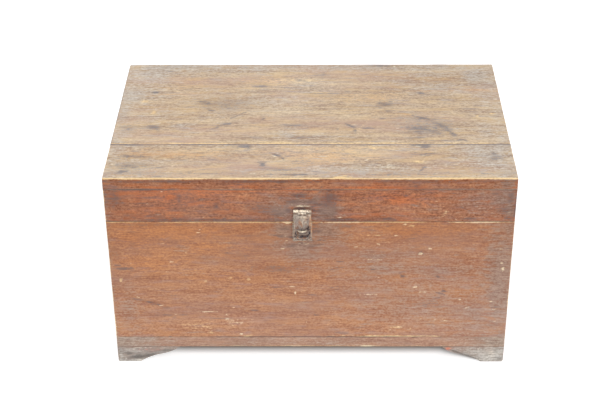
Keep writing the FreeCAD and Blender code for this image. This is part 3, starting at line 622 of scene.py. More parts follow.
def pinPrisms(kind, side, end):
    # the gaps between an end board's tails, cut right through the board's thickness
    row, wall = tailRows[kind], frontFace if end < 0 else backFace
    inner, lap, past, slope = (dovetail[name] for name in ("board", "lap", "past", "slope"))
    pitch = (row["high"] - row["low"]) / row["count"]
    faceY, outY = wall - end * inner, wall - end * (lap - 2 * past)
    narrow = row["width"] / 2 - (inner - lap) / slope
    wide = row["width"] / 2 + 2 * past / slope
    prisms = []
    for index in range(row["count"] + 1):
        below = row["low"] + pitch * (index - 0.5)
        above = row["low"] + pitch * (index + 0.5)
        outline = [(faceY, below + narrow), (outY, below + wide), (outY, above - wide),
                   (faceY, above - narrow)]
        prisms.append(prism(0, side * (halfWide + past), side * (halfWide - inner - past),
                            outline))
    return prisms


def cutSockets(piece, kind, end):
    for side in (-1, 1):
        cutWith(piece, socketPrisms(kind, side, end))


def cutPins(piece, kind, side):
    cutWith(piece, pinPrisms(kind, side, -1) + pinPrisms(kind, side, 1))


def haspHalo(level, seed):
    # scuffs that the swinging flap, at -15 mm across, has left around itself
    draw = np.random.default_rng(seed)
    scuffs = []
    for kind in ("grey", "dark", "grey", "pale", "grey", "dark") * 13:
        away, turn = draw.uniform(10, 48), draw.uniform(0, 2 * math.pi)
        longer, wider = (0.4, 0.35) if kind == "pale" else (1, 1)
        scuffs.append(mark(kind, -15 + 1.2 * away * math.cos(turn),
                           level + 0.75 * away * math.sin(turn), draw.uniform(5, 15) * longer,
                           draw.uniform(1.0, 3.4) * wider,
                           draw.uniform(0.8, 1.2) * (1.25 - away / 60), draw.uniform(-20, 20)))
    return scuffs


def strewn(seed, count, low, high, lean=1.0):
    # small dashes and nicks drawn at random over a face, closer together towards its right
    draw = np.random.default_rng(seed)
    sizes = {"pale": (1.5, 5, 0.6, 1.0), "grey": (6, 22, 0.9, 2.6), "dark": (5, 16, 0.7, 1.5)}
    dashes = []
    for kind in ("pale", "grey", "dark", "grey", "pale", "dark") * (count // 6):
        across = low[0] + (high[0] - low[0]) * draw.uniform() ** (1 / lean)
        up, size = draw.uniform(low[1], high[1]), sizes[kind]
        dashes.append(mark(kind, across, up, draw.uniform(*size[:2]), draw.uniform(*size[2:]),
                           draw.uniform(0.5, 1.0), draw.normal(0, 7)))
    return dashes


hingeLine, hingeLevel, hingesAt = 249.428, 346.0, (-260, 260)
# beds for the leaves and hollows for the knuckles; a bevel lets the lid open to 105 degrees
bed = {"half": 31.9, "front": 235.3, "deep": 2.1, "hollow": 4.2, "wide": 6, "outside": 258}
bevelRise = bed["wide"] * math.tan(math.radians(105 / 2))


def letHingesIn(piece, edge, up):
    # up: +1 above the joint, -1 below it; bevel first, then beds, then hollows (mm)
    outside, reach = bed["outside"], bed["hollow"]
    bevel = [(hingeLine, edge - up * 0.5), (outside, edge - up * 0.5),
             (outside, edge + up * bevelRise * (outside - hingeLine) / bed["wide"]),
             (hingeLine, edge)]
    turn = np.radians(np.arange(28) * 360 / 28)
    hollow = [(hingeLine + reach * math.cos(a), hingeLevel + reach * math.sin(a)) for a in turn]
    leaf = rectangle((bed["front"], hingeLine + 0.01),
                     sorted((edge - up, edge + up * bed["deep"])))
    spans = [((middle - bed["half"]) * mm, (middle + bed["half"]) * mm) for middle in hingesAt]
    cutWith(piece, [prism(0, -0.41, 0.41, [(y * mm, z * mm) for y, z in bevel])])
    cutWith(piece, [prism(0, *span, leaf) for span in spans])
    cutWith(piece, [prism(0, *span, [(y * mm, z * mm) for y, z in hollow]) for span in spans])


frontLook = {
    "cell": (3.8 * mm, 3 * mm, 1.7 * mm), "ridge": 0.06 * mm, "seed": 3, "wave": 5 * mm,
    "edges": [(2, 1, 1.1 * mm), (2, -1, 0.8 * mm)],
    "bands": [("bare", {2: 345.3}, 1.6, 0.9), ("pale", {2: 346.0}, 1.0, 0.55),
              ("bare", {0: -399.6, 1: -235}, 1.8, 1.0), ("bare", {0: 399.6, 1: -235}, 1.6, 0.7),
              ("grey", {0: 398}, 26, 1.1), ("grey", {0: -399}, 5, 0.6)],
    # darker and warmer at the top, lighter and paler towards the bottom: partly patina, partly
    # painted light from the floor's bounce
    "fade": [(2, 340, 250, -1.15, -0.35), (2, 250, 70, 0, 1.2), (0, 0, 300, 0, 0.25)],
    "fadeSpots": [(240, 325, 170, 18, -0.3), (-150, 100, 50, 24, 0.5), (320, 225, 60, 40, -0.3)],
    "marks": strewn(51, 132, (-390, 72), (396, 340), 1.5) + haspHalo(312, 3) + marks(
        dark=[(-386, 243, 5, 2.4, 1), (-373, 235, 13, 4.5, 0.8), (-323, 152, 16, 3.7, 1, -15),
            (-310, 147, 9, 2.9, 0.8, -10), (-290, 139, 8, 2.5, 0.6), (-315, 120, 8, 2.5, 0.9),
            (-343, 158, 20, 1.7, 0.6, -10), (-13, 91, 9, 1.7, 0.7), (-401, 167, 9, 24.9, 0.35),
            (-67, 236, 67, 8.1, 0.5), (-288, 121, 82, 1.7, 0.5), (-68, 190, 13, 1.2, 0.8),
            (-278, 169, 37, 2.5, 0.4), (-192, 112, 34, 2.5, 0.4), (184, 217, 6, 5.3, 1),
            (269, 181, 6, 5.8, 1.1), (256, 217, 5, 4.9, 0.8), (237, 148, 31, 5.8, 0.5),
            (219, 276, 8, 5.6, 0.7), (75, 336, 20, 5.5, 0.4), (-351, 291, 7, 5.6, 0.45),
            (-386, 269, 13, 8, 0.4), (-10, 296, 9, 1.6, 0.8), (-142, 313, 40, 3.1, 0.5),
            (-130, 265, 27, 8, 0.4), (20, 65.2, 270, 0.9, 1.2), (-300, 339, 60, 2, 0.5)],
        pale=[(-268, 252, 13.2, 0.8, 0.95, 0, 4), (-280, 227, 11.4, 0.8, 0.5),
            (-398, 194, 3.5, 1.2, 0.9), (-347, 165, 5.3, 1.2, 1.1, -21),
            (-304, 144, 3.5, 1.3, 0.9), (-209, 129, 12.3, 1, 0.95),
            (-170, 121, 5.3, 1.2, 0.9, -25), (-171, 110, 3, 1.5, 0.9), (-30, 177, 1, 5.3, 0.9),
            (-36, 192, 7.9, 0.8, 0.8), (-32, 133, 3, 1.2, 0.8), (-8, 103, 3, 1.2, 1),
            (-141, 73, 3, 1.9, 1), (89, 212, 1, 4.7, 1.1, 0, 4), (137, 214, 1, 3, 0.6),
            (118, 172, 14.1, 1.2, 0.95), (211, 190, 3, 1.8, 0.9), (222, 178, 7.9, 1.2, 0.8),
            (304, 159, 7, 1, 0.9), (286, 198, 1, 5.3, 0.7), (271, 110, 7.9, 1.3, 0.6, -40),
            (384, 235, 4.4, 5.8, 0.7), (381, 249, 3, 4, 0.6), (187, 340, 3, 2.8, 0.8, 75),
            (168, 314, 4.4, 1.2, 1.1), (102, 288, 13.2, 1, 0.9), (134, 294, 5.3, 1.3, 0.9, -23),
            (124, 269, 2, 2.3, 0.9), (219, 272, 3.5, 2.9, 0.8), (237, 283, 3, 1.2, 1.1),
            (391, 315, 5.3, 1.2, 0.9), (386, 332, 4.4, 2.2, 0.6), (130, 257, 23.8, 1.2, 0.6),
            (-219, 321, 3.5, 1.2, 0.8, -10), (-53, 283, 4.4, 1.2, 0.8),
            (-39, 345, 4.4, 1.2, 1.3), (-44, 345, 6, 1.8, 2.4), (60, 345, 34, 1.2, 1.3, 0),
            (330, 345, 40, 1.3, 1.2), (-22, 295, 6, 1, 0.6), (-150, 103, 34, 14, 0.3)],
        bare=[(-380, 208, 3, 4.9, 0.9), (-371, 205, 3, 1.6, 0.8), (-210, 205, 3, 2.5, 0.9),
            (-160, 212, 3, 1.6, 0.9), (-124, 209, 3, 4.1, 0.7), (-132, 67, 8, 1.3, 1.2),
            (-204, 76, 4, 2.6, 0.9), (-221, 91, 69, 14.5, 0.28), (176, 90, 14, 1.7, 0.9),
            (205, 87, 4, 2.1, 0.9), (165, 67, 79, 1.5, 1.2), (201, 337, 5, 2.3, 0.9),
            (130, 315, 14, 1.6, 0.6), (-249, 275, 5, 6.4, 0.35)],
        grey=[(133, 237, 43, 24.2, 0.8), (254, 229, 50, 16.2, 0.7), (333, 130, 31, 21, 0.8),
            (385, 192, 11, 77.1, 1), (189, 155, 41, 8.3, 0.6), (266, 104, 41, 6.8, 0.5),
            (389, 328, 11, 19.5, 1), (46, 313, 30, 23.5, 0.9), (129, 265, 46, 9.6, 0.9),
            (-49, 328, 12, 17.2, 0.8), (-37, 289, 30, 9.5, 0.9), (-23, 269, 20, 16, 1),
            (-207, 261, 20, 8, 0.5), (-54, 324, 24, 22, 1.25), (32, 324, 32, 22, 1.2),
            (-15, 289, 46, 13, 1.25), (380, 205, 34, 150, 1.15), (330, 130, 60, 60, 0.7),
            (-368, 130, 26, 50, 0.6), (-15, 266, 38, 18, 0.9), (-34, 300, 26, 40, 0.6),
            (300, 232, 46, 30, 0.5), (240, 150, 180, 80, 0.55), (150, 240, 150, 50, 0.5),
            (340, 90, 80, 40, 0.6)],
        warm=[(-321, 249, 73, 24.1, 0.7), (-188, 216, 87, 14.7, 0.45), (13, 212, 40, 12.2, 0.5),
            (206, 253, 33, 9.6, 0.6), (132, 163, 102, 4.2, 0.5), (205, 83, 103, 8.6, 0.5),
            (204, 324, 108, 14.1, 0.75), (118, 340, 36, 6.2, 0.7), (284, 297, 66, 4, 0.4),
            (-276, 325, 109, 23.4, 0.9), (-350, 305, 50, 23.6, 0.7), (-206, 285, 80, 23.8, 0.7),
            (-125, 336, 53, 11.7, 0.5), (-290, 310, 110, 22, 0.55), (160, 325, 190, 10, 0.5),
            (-150, 285, 120, 14, 0.4), (-290, 282, 40, 14, 0.4)]),
}
frontBoard = board("frontBoard", "front_board", (facingY, -1), frontLook)
cutSockets(frontBoard, "case", -1)
finishPiece(frontBoard, "front_board", *caseWood)
print("front board:", len(frontBoard.data.polygons), "faces")

backBoard = board("backBoard", "back_board", (facingY, 1), {
    "seed": 9, "wave": 7 * mm, "knots": [(150, 180, 12), (-210, 130, 9)],
    "bands": [("grey", {0: 398}, 12, 0.9), ("grey", {0: -398}, 10, 0.8),
              ("dark", {2: 66}, 2, 0.7)],
    "marks": marks(grey=[(-120, 200, 150, 40, 0.6)], pale=[(60, 260, 9, 1.3, 0.6)],
                   dark=[(210, 150, 40, 9, 0.7), (-260, 300, 30, 20, 0.6),
                         (260, 300, 30, 20, 0.6)], warm=[(60, 120, 160, 30, 0.4)])})
cutSockets(backBoard, "case", 1)
letHingesIn(backBoard, 345.85, -1)
finishPiece(backBoard, "back_board", *caseWood)

for sideName, side in (("left", -1), ("right", 1)):
    endBoard = board(f"{sideName}EndBoard", f"{sideName}_end_board", (facingX, side), {
        "arris": 1.2 * mm, "swell": 0.1 * mm, "seed": 13 + side, "bareEdge": 0.2,
        "knots": [(60 * side, 190, 9)],
        "bands": [("grey", {1: -232}, 14, 0.8), ("dark", {2: 66}, 2, 0.7),
                  ("bare", {2: 345.3}, 1.6, 0.6)],
        "marks": marks(grey=[(100, 250, 90, 40, 0.5)], dark=[(-60, 180, 60, 10, 0.5)],
                       pale=[(30 * side, 291, 9, 1.2, 0.6), (-140, 110, 1.4, 7, 0.6)],
                       warm=[(-90, 130, 90, 30, 0.4)])})
    cutPins(endBoard, "case", side)
    finishPiece(endBoard, f"{sideName}_end_board", *caseWood)

# the bottom's three boards; levels in mm along y, and along z for tongue and groove
plank = {"cell": 5 * mm, "arris": 1.6 * mm, "ridge": 0.06 * mm, "swell": 0.1 * mm,
         "bareEdge": 0.3, "inside": 0}
tongueLevel, grooveLevel = [(2, -1, 48.5), (2, 1, 56.5)], (48.4, 56.6)
bottomBoards = {
    "front": dict(plank, seed=31, faces=[(1, 1, -71.77)], cell=3 * mm,
                  edges=[(1, 1, 0.6 * mm), (2, -1, 0.4 * mm)],
                  bands=[("grey", {0: 390}, 70, 1.3), ("grey", {0: -390}, 85, 1.3),
                         ("grey", {0: 60}, 50, 0.5), ("grey", {0: -130}, 30, 0.5)],
                  # the dark line at 39.9 mm is painted shade on the board's lower arris
                  marks=marks(dark=[(30, 64.8, 290, 0.9, 1.3), (0, 39.9, 262, 1, 1.4)],
                              bare=[(0, 41.8, 250, 0.7, 0.9)], grey=[(40, 52, 120, 8, 0.5)],
                              pale=[(120, 41.5, 14, 1.4, 1), (-30, 42, 20, 1, 0.7)])),
    "middle": dict(plank, seed=32, faces=[(1, -1, -71.37), (1, 1, 91.23)], arris=0.6 * mm),
    "back": dict(plank, seed=33, faces=[(1, -1, 91.63)], edges=[(1, -1, 0.6 * mm)])}
for name, axes in (("front", (facingY, -1)), ("middle", (lying, -1)), ("back", (facingY, 1))):
    node, look = f"bottom_board_{name}", bottomBoards[name]
    plankBoard = board(f"bottomBoard{name.title()}", node, axes, look)
    if name == "middle":
        for low, high in ((-79.37, -70), (90, 99.23)):
            tongue(plankBoard, node, axes, look, [(1, -1, low), (1, 1, high)] + tongueLevel)
    else:
        span = (-79.87, -70) if name == "front" else (90, 99.73)
        cutWith(plankBoard, [groove(span, grooveLevel)])
    finishPiece(plankBoard, node, "chest", "bottom_wood", bottomWood)
print("case boards done")

# the rail and the top board's front edge share these stains
lidStains = marks(
    dark=[(36, 398, 19, 22.8, 0.75), (37, 417, 7, 3.2, 1, -17), (206, 427, 8, 7.5, 0.5),
          (-379, 402, 19, 26.5, 0.6)],
    grey=[(380, 430, 19, 13.5, 1), (373, 394, 29, 30.3, 0.9), (330, 398, 19, 30.3, 0.5)],
    warm=[(126, 421, 90, 6, 0.8), (-32, 418, 32, 3.4, 0.9)])
lidFront = board("lidFrontRail", "lid_front_rail", (facingY, -1), {
    "cell": (3.4 * mm, 3 * mm, 1.4 * mm), "ridge": 0.06 * mm, "seed": 5, "wave": 5 * mm,
    "bareEdge": 0.15, "edges": [(2, 1, 0.6 * mm), (2, -1, 1.0 * mm)],
    # the dark band along the bottom edge at 347.3 mm is painted shade in the groove of the lid's
    # joint
    "bands": [("dark", {2: 347.3}, 1.5, 0.85), ("dark", {2: 419.9, 1: -235.4}, 1.6, 1.6),
              ("bare", {0: -399.6, 1: -235}, 1.8, 1.0), ("bare", {0: 399.6, 1: -235}, 1.6, 0.6),
              ("grey", {0: 392}, 22, 0.75), ("grey", {0: -398}, 7, 0.7)],
    "knots": [(80, 408, 8), (-100, 398, 6)],
    "fadeSpots": [(-165, 405, 110, 26, 0.55), (-30, 372, 62, 34, 0.7), (330, 378, 80, 40, 0.75),
        (190, 395, 60, 26, 0.35), (75, 412, 50, 14, -0.4)],
    "marks": lidStains + strewn(52, 54, (-390, 350), (396, 418), 1.2) + haspHalo(366, 4) + marks(
        dark=[(186, 406, 5, 2.7, 0.9), (399, 383, 3, 30.4, 0.9), (59, 351, 36, 3.5, 1),
            (150, 353, 20, 3.1, 0.8), (307, 353, 20, 2.3, 0.7), (-253, 398, 5, 15.2, 0.6),
            (-182, 383, 6, 6.1, 0.8), (-170, 388, 3, 6.9, 0.6), (-22, 406, 19, 4.5, 0.9, -5),
            (-183, 351, 105, 1.9, 0.9), (-255, 351, 39, 2.3, 0.9), (-340, 360, 20, 2.7, 0.6),
            (-91, 375, 36, 13.8, 0.5), (-244, 371, 5, 4.6, 0.5), (-42, 372, 9, 5, 0.7),
            (14, 386, 14, 4, 0.8), (-34, 392, 14, 4, 0.7), (-130, 350.5, 115, 3.2, 0.75),
            (70, 350, 70, 2.6, 0.8), (388, 400, 9, 12, 0.6), (376, 372, 16, 5, 0.6),
            (386, 356, 12, 4, 0.7), (360, 410, 18, 4, 0.5)],
        pale=[(-390, 369, 3, 1.5, 1.1), (-14, 382, 12, 3, 0.55), (335, 384, 60, 26, 0.12),
            (-20, 352, 60, 4, 0.2)],
        bare=[(263, 366, 7, 3.6, 0.55, 18), (261, 360, 7, 1.2, 0.5, 24)],
        grey=[(-255, 349, 20, 1.6, 0.7), (-15, 389, 46, 16, 1.35), (-56, 366, 24, 19, 1.25),
            (32, 368, 30, 20, 1.25), (-66, 374, 26, 22, 0.9), (388, 384, 12, 40, 1.1),
            (394, 360, 7, 24, 0.8), (335, 392, 60, 30, 0.6)],
        warm=[(155, 405, 52, 11.4, 0.6), (-300, 416, 45, 2.7, 1.1), (-272, 403, 17, 6.8, 1.1),
            (-332, 404, 16, 11.4, 0.6), (-145, 415, 68, 1.9, 1.1), (-200, 409, 42, 5.3, 0.55),
            (-303, 367, 65, 8.5, 0.5), (-198, 390, 65, 11.4, 0.4), (-231, 418, 70, 6, 0.9),
            (-164, 416, 40, 6, 0.8), (178, 396, 44, 13, 0.9), (-265, 396, 60, 20, 0.45),
            (33, 396, 40, 14, 0.4)]),
})
cutSockets(lidFront, "lid", -1)
finishPiece(lidFront, "lid_front_rail", *lidWood)

lidBack = board("lidBackRail", "lid_back_rail", (facingY, 1), {
    "seed": 17, "bareEdge": 0.3,
    "bands": [("grey", {0: 395}, 14, 0.8), ("dark", {2: 420}, 3, 0.7)],
    "marks": marks(dark=[(260, 360, 34, 14, 0.6), (-260, 360, 34, 14, 0.6)],
                   warm=[(-60, 395, 160, 8, 0.5)])})
cutSockets(lidBack, "lid", 1)
letHingesIn(lidBack, 346.15, 1)
finishPiece(lidBack, "lid_back_rail", *lidWood)

for sideName, side in (("left", -1), ("right", 1)):
    rail = board(f"lid{sideName.title()}Rail", f"lid_{sideName}_rail", (facingX, side), {
        "arris": 1.0 * mm, "ridge": 0.06 * mm, "swell": 0.1 * mm, "seed": 23 + side,
        "bareEdge": 0.15, "bands": [("dark", {2: 347}, 2, 0.7), ("dark", {2: 420}, 3, 0.7),
                                    ("grey", {1: -232}, 16, 0.8)],
        "marks": marks(warm=[(40, 400, 120, 6, 0.5)], grey=[(180, 385, 40, 20, 0.6)])})
    cutPins(rail, "lid", side)
    finishPiece(rail, f"lid_{sideName}_rail", *lidWood)

topBoard = {"ridge": 0.08 * mm, "swell": 0.15 * mm, "wave": 7 * mm, "stainedEdges": True,
            "bareAbove": 438 * mm}
topBackLook = dict(topBoard, **{
    "cell": (4 * mm, 1.9 * mm, 3 * mm), "arris": 2.2 * mm, "seed": 7, "bareEdge": 0.5,
    "faces": [(1, -1, -100.37)], "edges": [(1, -1, 0.9 * mm), (2, -1, 0.6 * mm)],
    "bands": [("bare", {1: -98.5, 2: 444.6}, 3.5, 0.72), ("grey", {1: 240}, 22, 0.65),
              ("dark", {1: 255.2, 2: 444.6}, 2.4, 0.9), ("dark", {0: -399.4, 2: 444.6}, 2, 0.8),
              ("grey", {0: -390}, 22, 0.7), ("grey", {0: 388}, 26, 0.6)],
    "knots": [(-30, -30, 9)],
    "fadeSpots": [(-34, 160, 115, 55, 0.75), (-235, 45, 170, 60, -0.5), (240, 175, 95, 26, -0.6),
        (155, 28, 50, 34, -0.5), (-370, 190, 55, 45, 0.4), (-165, 105, 60, 45, -0.6),
        (-33, 105, 40, 40, 0.5), (-60, 29, 75, 40, 0.45), (290, 179, 45, 30, -0.45),
        (71, -40, 40, 35, -0.4), (130, 105, 40, 40, -0.3)],
    "marks": strewn(53, 84, (-390, -90), (390, 250)) + marks(
        dark=[(-221, 73, 22, 11, 0.72, -27), (-211, 45, 16, 5.1, 0.65, -43),
            (-177, 63, 21, 11.8, 0.5, -8), (-176, -21, 25, 3.3, 0.7, 24),
            (-150, 19, 26, 2.7, 0.7, 44), (-192, -34, 12, 2.9, 0.6, 38),
            (-321, -33, 16, 10, 0.75, -16), (-310, -45, 5, 14.1, 0.5), (-331, 122, 9, 4.6, 1),
            (-108, 149, 17, 6.3, 0.7), (-23, 179, 7, 4.8, 0.8), (27, 205, 17, 13, 0.4),
            (-96, 4, 5, 4.3, 0.9), (-38, -25, 24, 5.7, 0.6), (-21, -74, 20, 5.5, 0.6),
            (-370, -35, 17, 18.5, 0.45), (13, 116, 32, 3.1, 0.6), (157, 65, 22, 11, 0.75),
            (160, 37, 12, 7, 0.6), (146, 5, 7, 3.6, 0.7), (82, -26, 14, 2.7, 1, -40),
            (90, -44, 3, 11.3, 1), (119, -36, 18, 2.8, 0.9, -4), (235, 4, 29, 6, 0.9, -27),
            (224, -39, 40, 17, 0.8, -4), (266, -25, 31, 12, 0.7, -46),
            (287, -57, 18, 5.1, 0.9, -53), (304, -84, 13, 4.1, 0.9, -12),
            (254, -50, 24, 9.4, 0.7, -21), (215, -77, 17, 4.8, 0.6), (272, -87, 37, 2.1, 0.8),
            (234, 118, 9, 4.6, 1), (162, 247, 33, 6.6, 0.7), (34, 116, 43, 3.1, 0.6),
            (54, -39, 3, 4.2, 0.8), (-205, 68, 34, 9, 0.45), (-190, 58, 30, 7, 0.4),
            (-178, 64, 56, 28, 0.32), (228, -16, 54, 34, 0.34), (205, 14, 30, 16, 0.25)],
        pale=[(183, 245, 3, 4.1, 1), (389, 91, 4, 2.3, 0.9), (177, -37, 4, 2.1, 0.8)],
        bare=[(-325, 32, 5, 11.8, 0.75), (-349, 81, 12, 9.1, 0.6), (102, -34, 22, 1, 0.7, 61),
            (118, -3, 50, 1.3, 0.5, 61), (375, 25, 5, 3.7, 0.8), (344, 16, 4, 4.4, 0.8),
            (-34, 179, 75, 20, 0.34)],
        grey=[(-55, -60, 30, 14, 0.8), (-264, -28, 21, 10, 0.7), (-297, 240, 111, 18.2, 1),
            (-378, 105, 45, 60.5, 0.8, -77), (-125, 82, 92, 30.5, 0.5),
            (359, 198, 36, 45.6, 0.9), (254, 202, 58, 17.8, 0.6), (360, -43, 60, 20.4, 0.5, -88),
            (30, -70, 41, 9.7, 0.6), (-205, 66, 44, 18, 0.5), (225, -22, 60, 26, 0.4),
            (276, 140, 60, 26, 0.75), (196, 172, 44, 12, 0.6), (-190, 62, 46, 50, 0.55),
            (-312, 29, 60, 40, 0.45), (-345, 205, 60, 50, 0.7), (-230, 232, 80, 26, 0.5),
            (372, 195, 34, 60, 0.6), (370, 100, 34, 40, 0.5), (-210, 118, 50, 30, 0.35)],
        warm=[(-311, 113, 43, 2.3, 0.9), (-261, 159, 72, 48, 0.35), (-81, 175, 94, 32.1, 0.4),
            (252, 128, 82, 3.1, 1), (353, 133, 36, 3.9, 0.9), (193, 25, 22, 4.1, 0.8, -25),
            (126, 96, 92, 23, 0.45)]),
})
topBack = board("topBoardBack", "lid_top_board_back", (lying, 1), topBackLook)
tongue(topBack, "lid_top_board_back", (lying, 1), topBackLook,
       [(1, -1, -108.37), (1, 1, -99), (2, -1, 428.5), (2, 1, 436.5)])
finishPiece(topBack, "lid_top_board_back", *lidTop)

topFront = board("topBoardFront", "lid_top_board_front", (lying, 1), dict(topBoard, **{
    "cell": (3.4 * mm, 1.6 * mm, 3 * mm), "arris": 2.4 * mm, "uneven": 0.5, "seed": 8,
    "bareEdge": 0.6, "edges": [(1, 1, 0.6 * mm), (2, -1, 0.6 * mm)],
    # the dark band at -101.6 mm across is painted shadow in the seam between the two top boards
    "bands": [("bare", {1: -235.2, 2: 444.8}, 2.3, 1.6), ("dark", {1: -235.6, 2: 438}, 3.2, 0.65),
              ("dark", {1: -101.6}, 2.8, 1.6), ("grey", {1: -106}, 5, 0.6),
              ("bare", {0: -399.6, 2: 444.6}, 1.6, 0.7), ("grey", {0: -385}, 28, 0.7),
              ("grey", {0: 380}, 40, 0.8), ("dark", {1: -216}, 9, 0.35)],
    "knots": [(-66, -160, 8), (208, -170, 7)],
    "fadeSpots": [(-290, -138, 115, 22, -0.8), (-355, -190, 45, 24, -0.65),
        (235, -140, 60, 16, -0.45), (20, -170, 85, 34, 0.4), (-320, -142, 60, 24, -0.35),
        (-10, -142, 60, 20, 0.35), (255, -142, 60, 20, -0.3)],
    "frontMarks": lidStains + marks(
        dark=[(277, 422, 64, 1.1, 0.5), (-329, 421, 71, 0.9, 1.2), (-54, 438, 77, 3, 0.8)],
        warm=[(103, 424, 74, 1.5, 1.1), (-116, 426, 39, 6, 0.6)]),
    "marks": strewn(54, 132, (-390, -230), (390, -104), 1.2) + marks(
        dark=[(-129, -110, 19, 7.3, 1, -8), (-161, -103, 37, 2.7, 0.9),
            (-355, -105, 44, 3.4, 0.8), (-66, -146, 14, 3.8, 1, -33),
            (-54, -159, 7, 2.7, 0.9, -58), (-360, -148, 15, 6.6, 0.8), (220, -109, 22, 6.1, 1),
            (233, -111, 7, 9.5, 0.8), (363, -138, 7, 6.6, 0.8), (-92, -180, 7, 7, 0.9, 50),
            (-28, -221, 32, 3.4, 1), (-340, -152, 26, 6, 0.6), (-365, -210, 12, 6, 0.8),
            (218, -200, 3, 18, 0.8, -30), (362, -160, 12, 10, 0.6), (-200, -216, 60, 4, 0.5),
            (-60, -200, 40, 10, 0.45), (-10, -170, 60, 14, 0.35), (150, -222, 50, 3, 0.6),
            (-352, -190, 36, 12, 0.6), (227, -142, 28, 8, 0.6)],
        pale=[(-69, -151, 7, 2.1, 0.7, -36), (213, -111, 8, 2.7, 0.6), (-275, -212, 7, 4, 0.6),
            (-385, -180, 4, 6, 0.6), (110, -165, 4, 3, 0.8), (150, -190, 26, 8, 0.45),
            (-110, -216, 7, 3, 0.6), (245, -215, 5, 3, 0.6), (300, -180, 80, 24, 0.2),
            (-330, -190, 60, 24, 0.2)],
        bare=[(126, -118, 11, 4.4, 0.8, -37), (212, -172, 14, 7, 0.6), (60, -231, 16, 4, 1.2),
            (10, -150, 50, 8, 0.36)],
        grey=[(-298, -138, 40, 13.4, 0.5), (338, -125, 53, 24.3, 0.7), (350, -150, 60, 60, 0.8),
            (80, -205, 120, 20, 0.7), (-350, -190, 50, 50, 0.7)],
        warm=[(-212, -138, 40, 13.3, 0.4), (53, -125, 66, 16.1, 0.5), (0, -130, 160, 12, 0.4),
            (-290, -141, 95, 13, 0.9), (20, -160, 76, 34, 0.8)]),
}))
cutWith(topFront, [groove((-108.87, -99), (428.4, 436.6))])
finishPiece(topFront, "lid_top_board_front", *lidTop)
print("lid boards done")


# feet

foot = {"length": 130 * mm, "pad": 47 * mm, "breakAt": (92 * mm, 20 * mm), "cove": 118 * mm,
        "high": 40 * mm, "tip": 1.2 * mm}


def arcPoints(start, end, halfTurn):
    # a chord's share sin(t h) / sin(h), turned from the arc's first direction by t h
    chord = np.subtract(end, start)
    length, heading = math.hypot(*chord), math.atan2(chord[1], chord[0])
    t = np.linspace(0, 1, 14)
    reach = length * np.sin(t * halfTurn) / math.sin(halfTurn)
    turn = heading - halfTurn + t * halfTurn
    return np.stack([start[0] + reach * np.cos(turn), start[1] + reach * np.sin(turn)], 1)


def footUnderside():
    # level pad, hollow cove, then a nose that takes over the cove's slope
    padEnd, bend, tip = (foot["pad"], 0), foot["breakAt"], (foot["length"], foot["high"])
    chord, rise = np.subtract(bend, padEnd), np.subtract(tip, bend)
    coveTurn = -math.asin(math.hypot(*chord) / 2 / foot["cove"])
    arrive = math.atan2(chord[1], chord[0]) + coveTurn
    nose = arcPoints(bend, tip, math.atan2(rise[1], rise[0]) - arrive)
    return np.concatenate([[(0, 0)], arcPoints(padEnd, bend, coveTurn), nose[1:]])


underside = footUnderside()


def footReshape(alongAxis, throughAxis, corner, wall):
    def reshape(points):
        # distance from the corner, mitred by the depth; height squeezed above the underside
        points = points.copy()
        u = np.abs(points[:, alongAxis] - corner)
        v = np.abs(points[:, throughAxis] - wall)
        u = u + v * np.clip(1 - u / foot["pad"], 0, 1)
        low = np.minimum(np.interp(u, underside[:, 0], underside[:, 1]),
                         foot["high"] - foot["tip"])
        points[:, 2] = low + (foot["high"] - low) * points[:, 2] / foot["high"]
        points[:, alongAxis] = corner - math.copysign(1, corner) * u
        return points
    return reshape


frontFeet = {
    "foot_front_left_face": {"stainedAbove": (30, 42, 0.45), "marks": marks(
        dark=[(-358, 13, 26, 5, 1.0, 4), (-338, 17, 16, 4, 1.0, 12), (-376, 22, 14, 4, 0.7),
              (-300, 30, 30, 4, 0.5, 8)],
        pale=[(-352, 37, 30, 0.9, 0.7), (-350, 4, 26, 2.2, 0.7), (-384, 9, 4, 6, 0.6)],
        warm=[(-331, 6, 6, 3, 0.9, 20), (-330, 32, 30, 5, 0.4)],
        grey=[(-375, 30, 20, 8, 0.7), (-350, 4, 48, 5, 1.2), (-393, 14, 6, 16, 0.9)])},
    "foot_front_right_face": {"stainedAbove": (20, 44, 0.55), "marks": marks(
        # the two dark marks along the cove are painted shadow under the foot's curve
        dark=[(330, 13, 28, 2.6, 1.2, -24), (303, 26, 16, 2.4, 1.0, -20)],
        pale=[(348, 36, 3, 8, 0.7, -35), (376, 20, 8, 12, 0.5), (352, 6, 20, 1.5, 0.6)],
        warm=[(283, 34, 8, 5, 1.2)],
        grey=[(372, 18, 38, 24, 1.3), (330, 28, 34, 8, 0.8), (372, 2, 40, 5, 1.2)])}}
for cornerName, xSide, ySide in (("front_left", -1, -1), ("front_right", 1, -1),
                                 ("back_right", 1, 1), ("back_left", -1, 1)):
    wallX, wallY = halfWide * xSide, frontFace if ySide < 0 else backFace
    for part, axes, corner, wall in (("face", (facingY, ySide), wallX, wallY),
                                     ("side", (facingX, xSide), wallY, wallX)):
        node = f"foot_{cornerName}_{part}"
        look = {"cell": 2.2 * mm, "arris": 1.6 * mm, "ridge": 0.1 * mm, "swell": 0.2 * mm,
                "seed": 40 + len(node) + xSide * 3 + ySide, "wave": 3 * mm, "bareEdge": 0.4,
                "reshape": footReshape(axes[0][0], axes[0][2], corner, wall), "inside": 0,
                "edges": [(2, 1, 0.4 * mm), (2, -1, 3.2 * mm)], "stainedAbove": (-25, 45, 0.7)}
        name = "foot" + "".join(word.title() for word in node.split("_")[1:])
        bracket = board(name, node, axes, dict(look, **frontFeet.get(node, {})))
        finishPiece(bracket, node, "chest", "foot_wood", footWood)
    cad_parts[f"foot_{cornerName}_block"].data.materials[0] = blockWood
print("feet done")

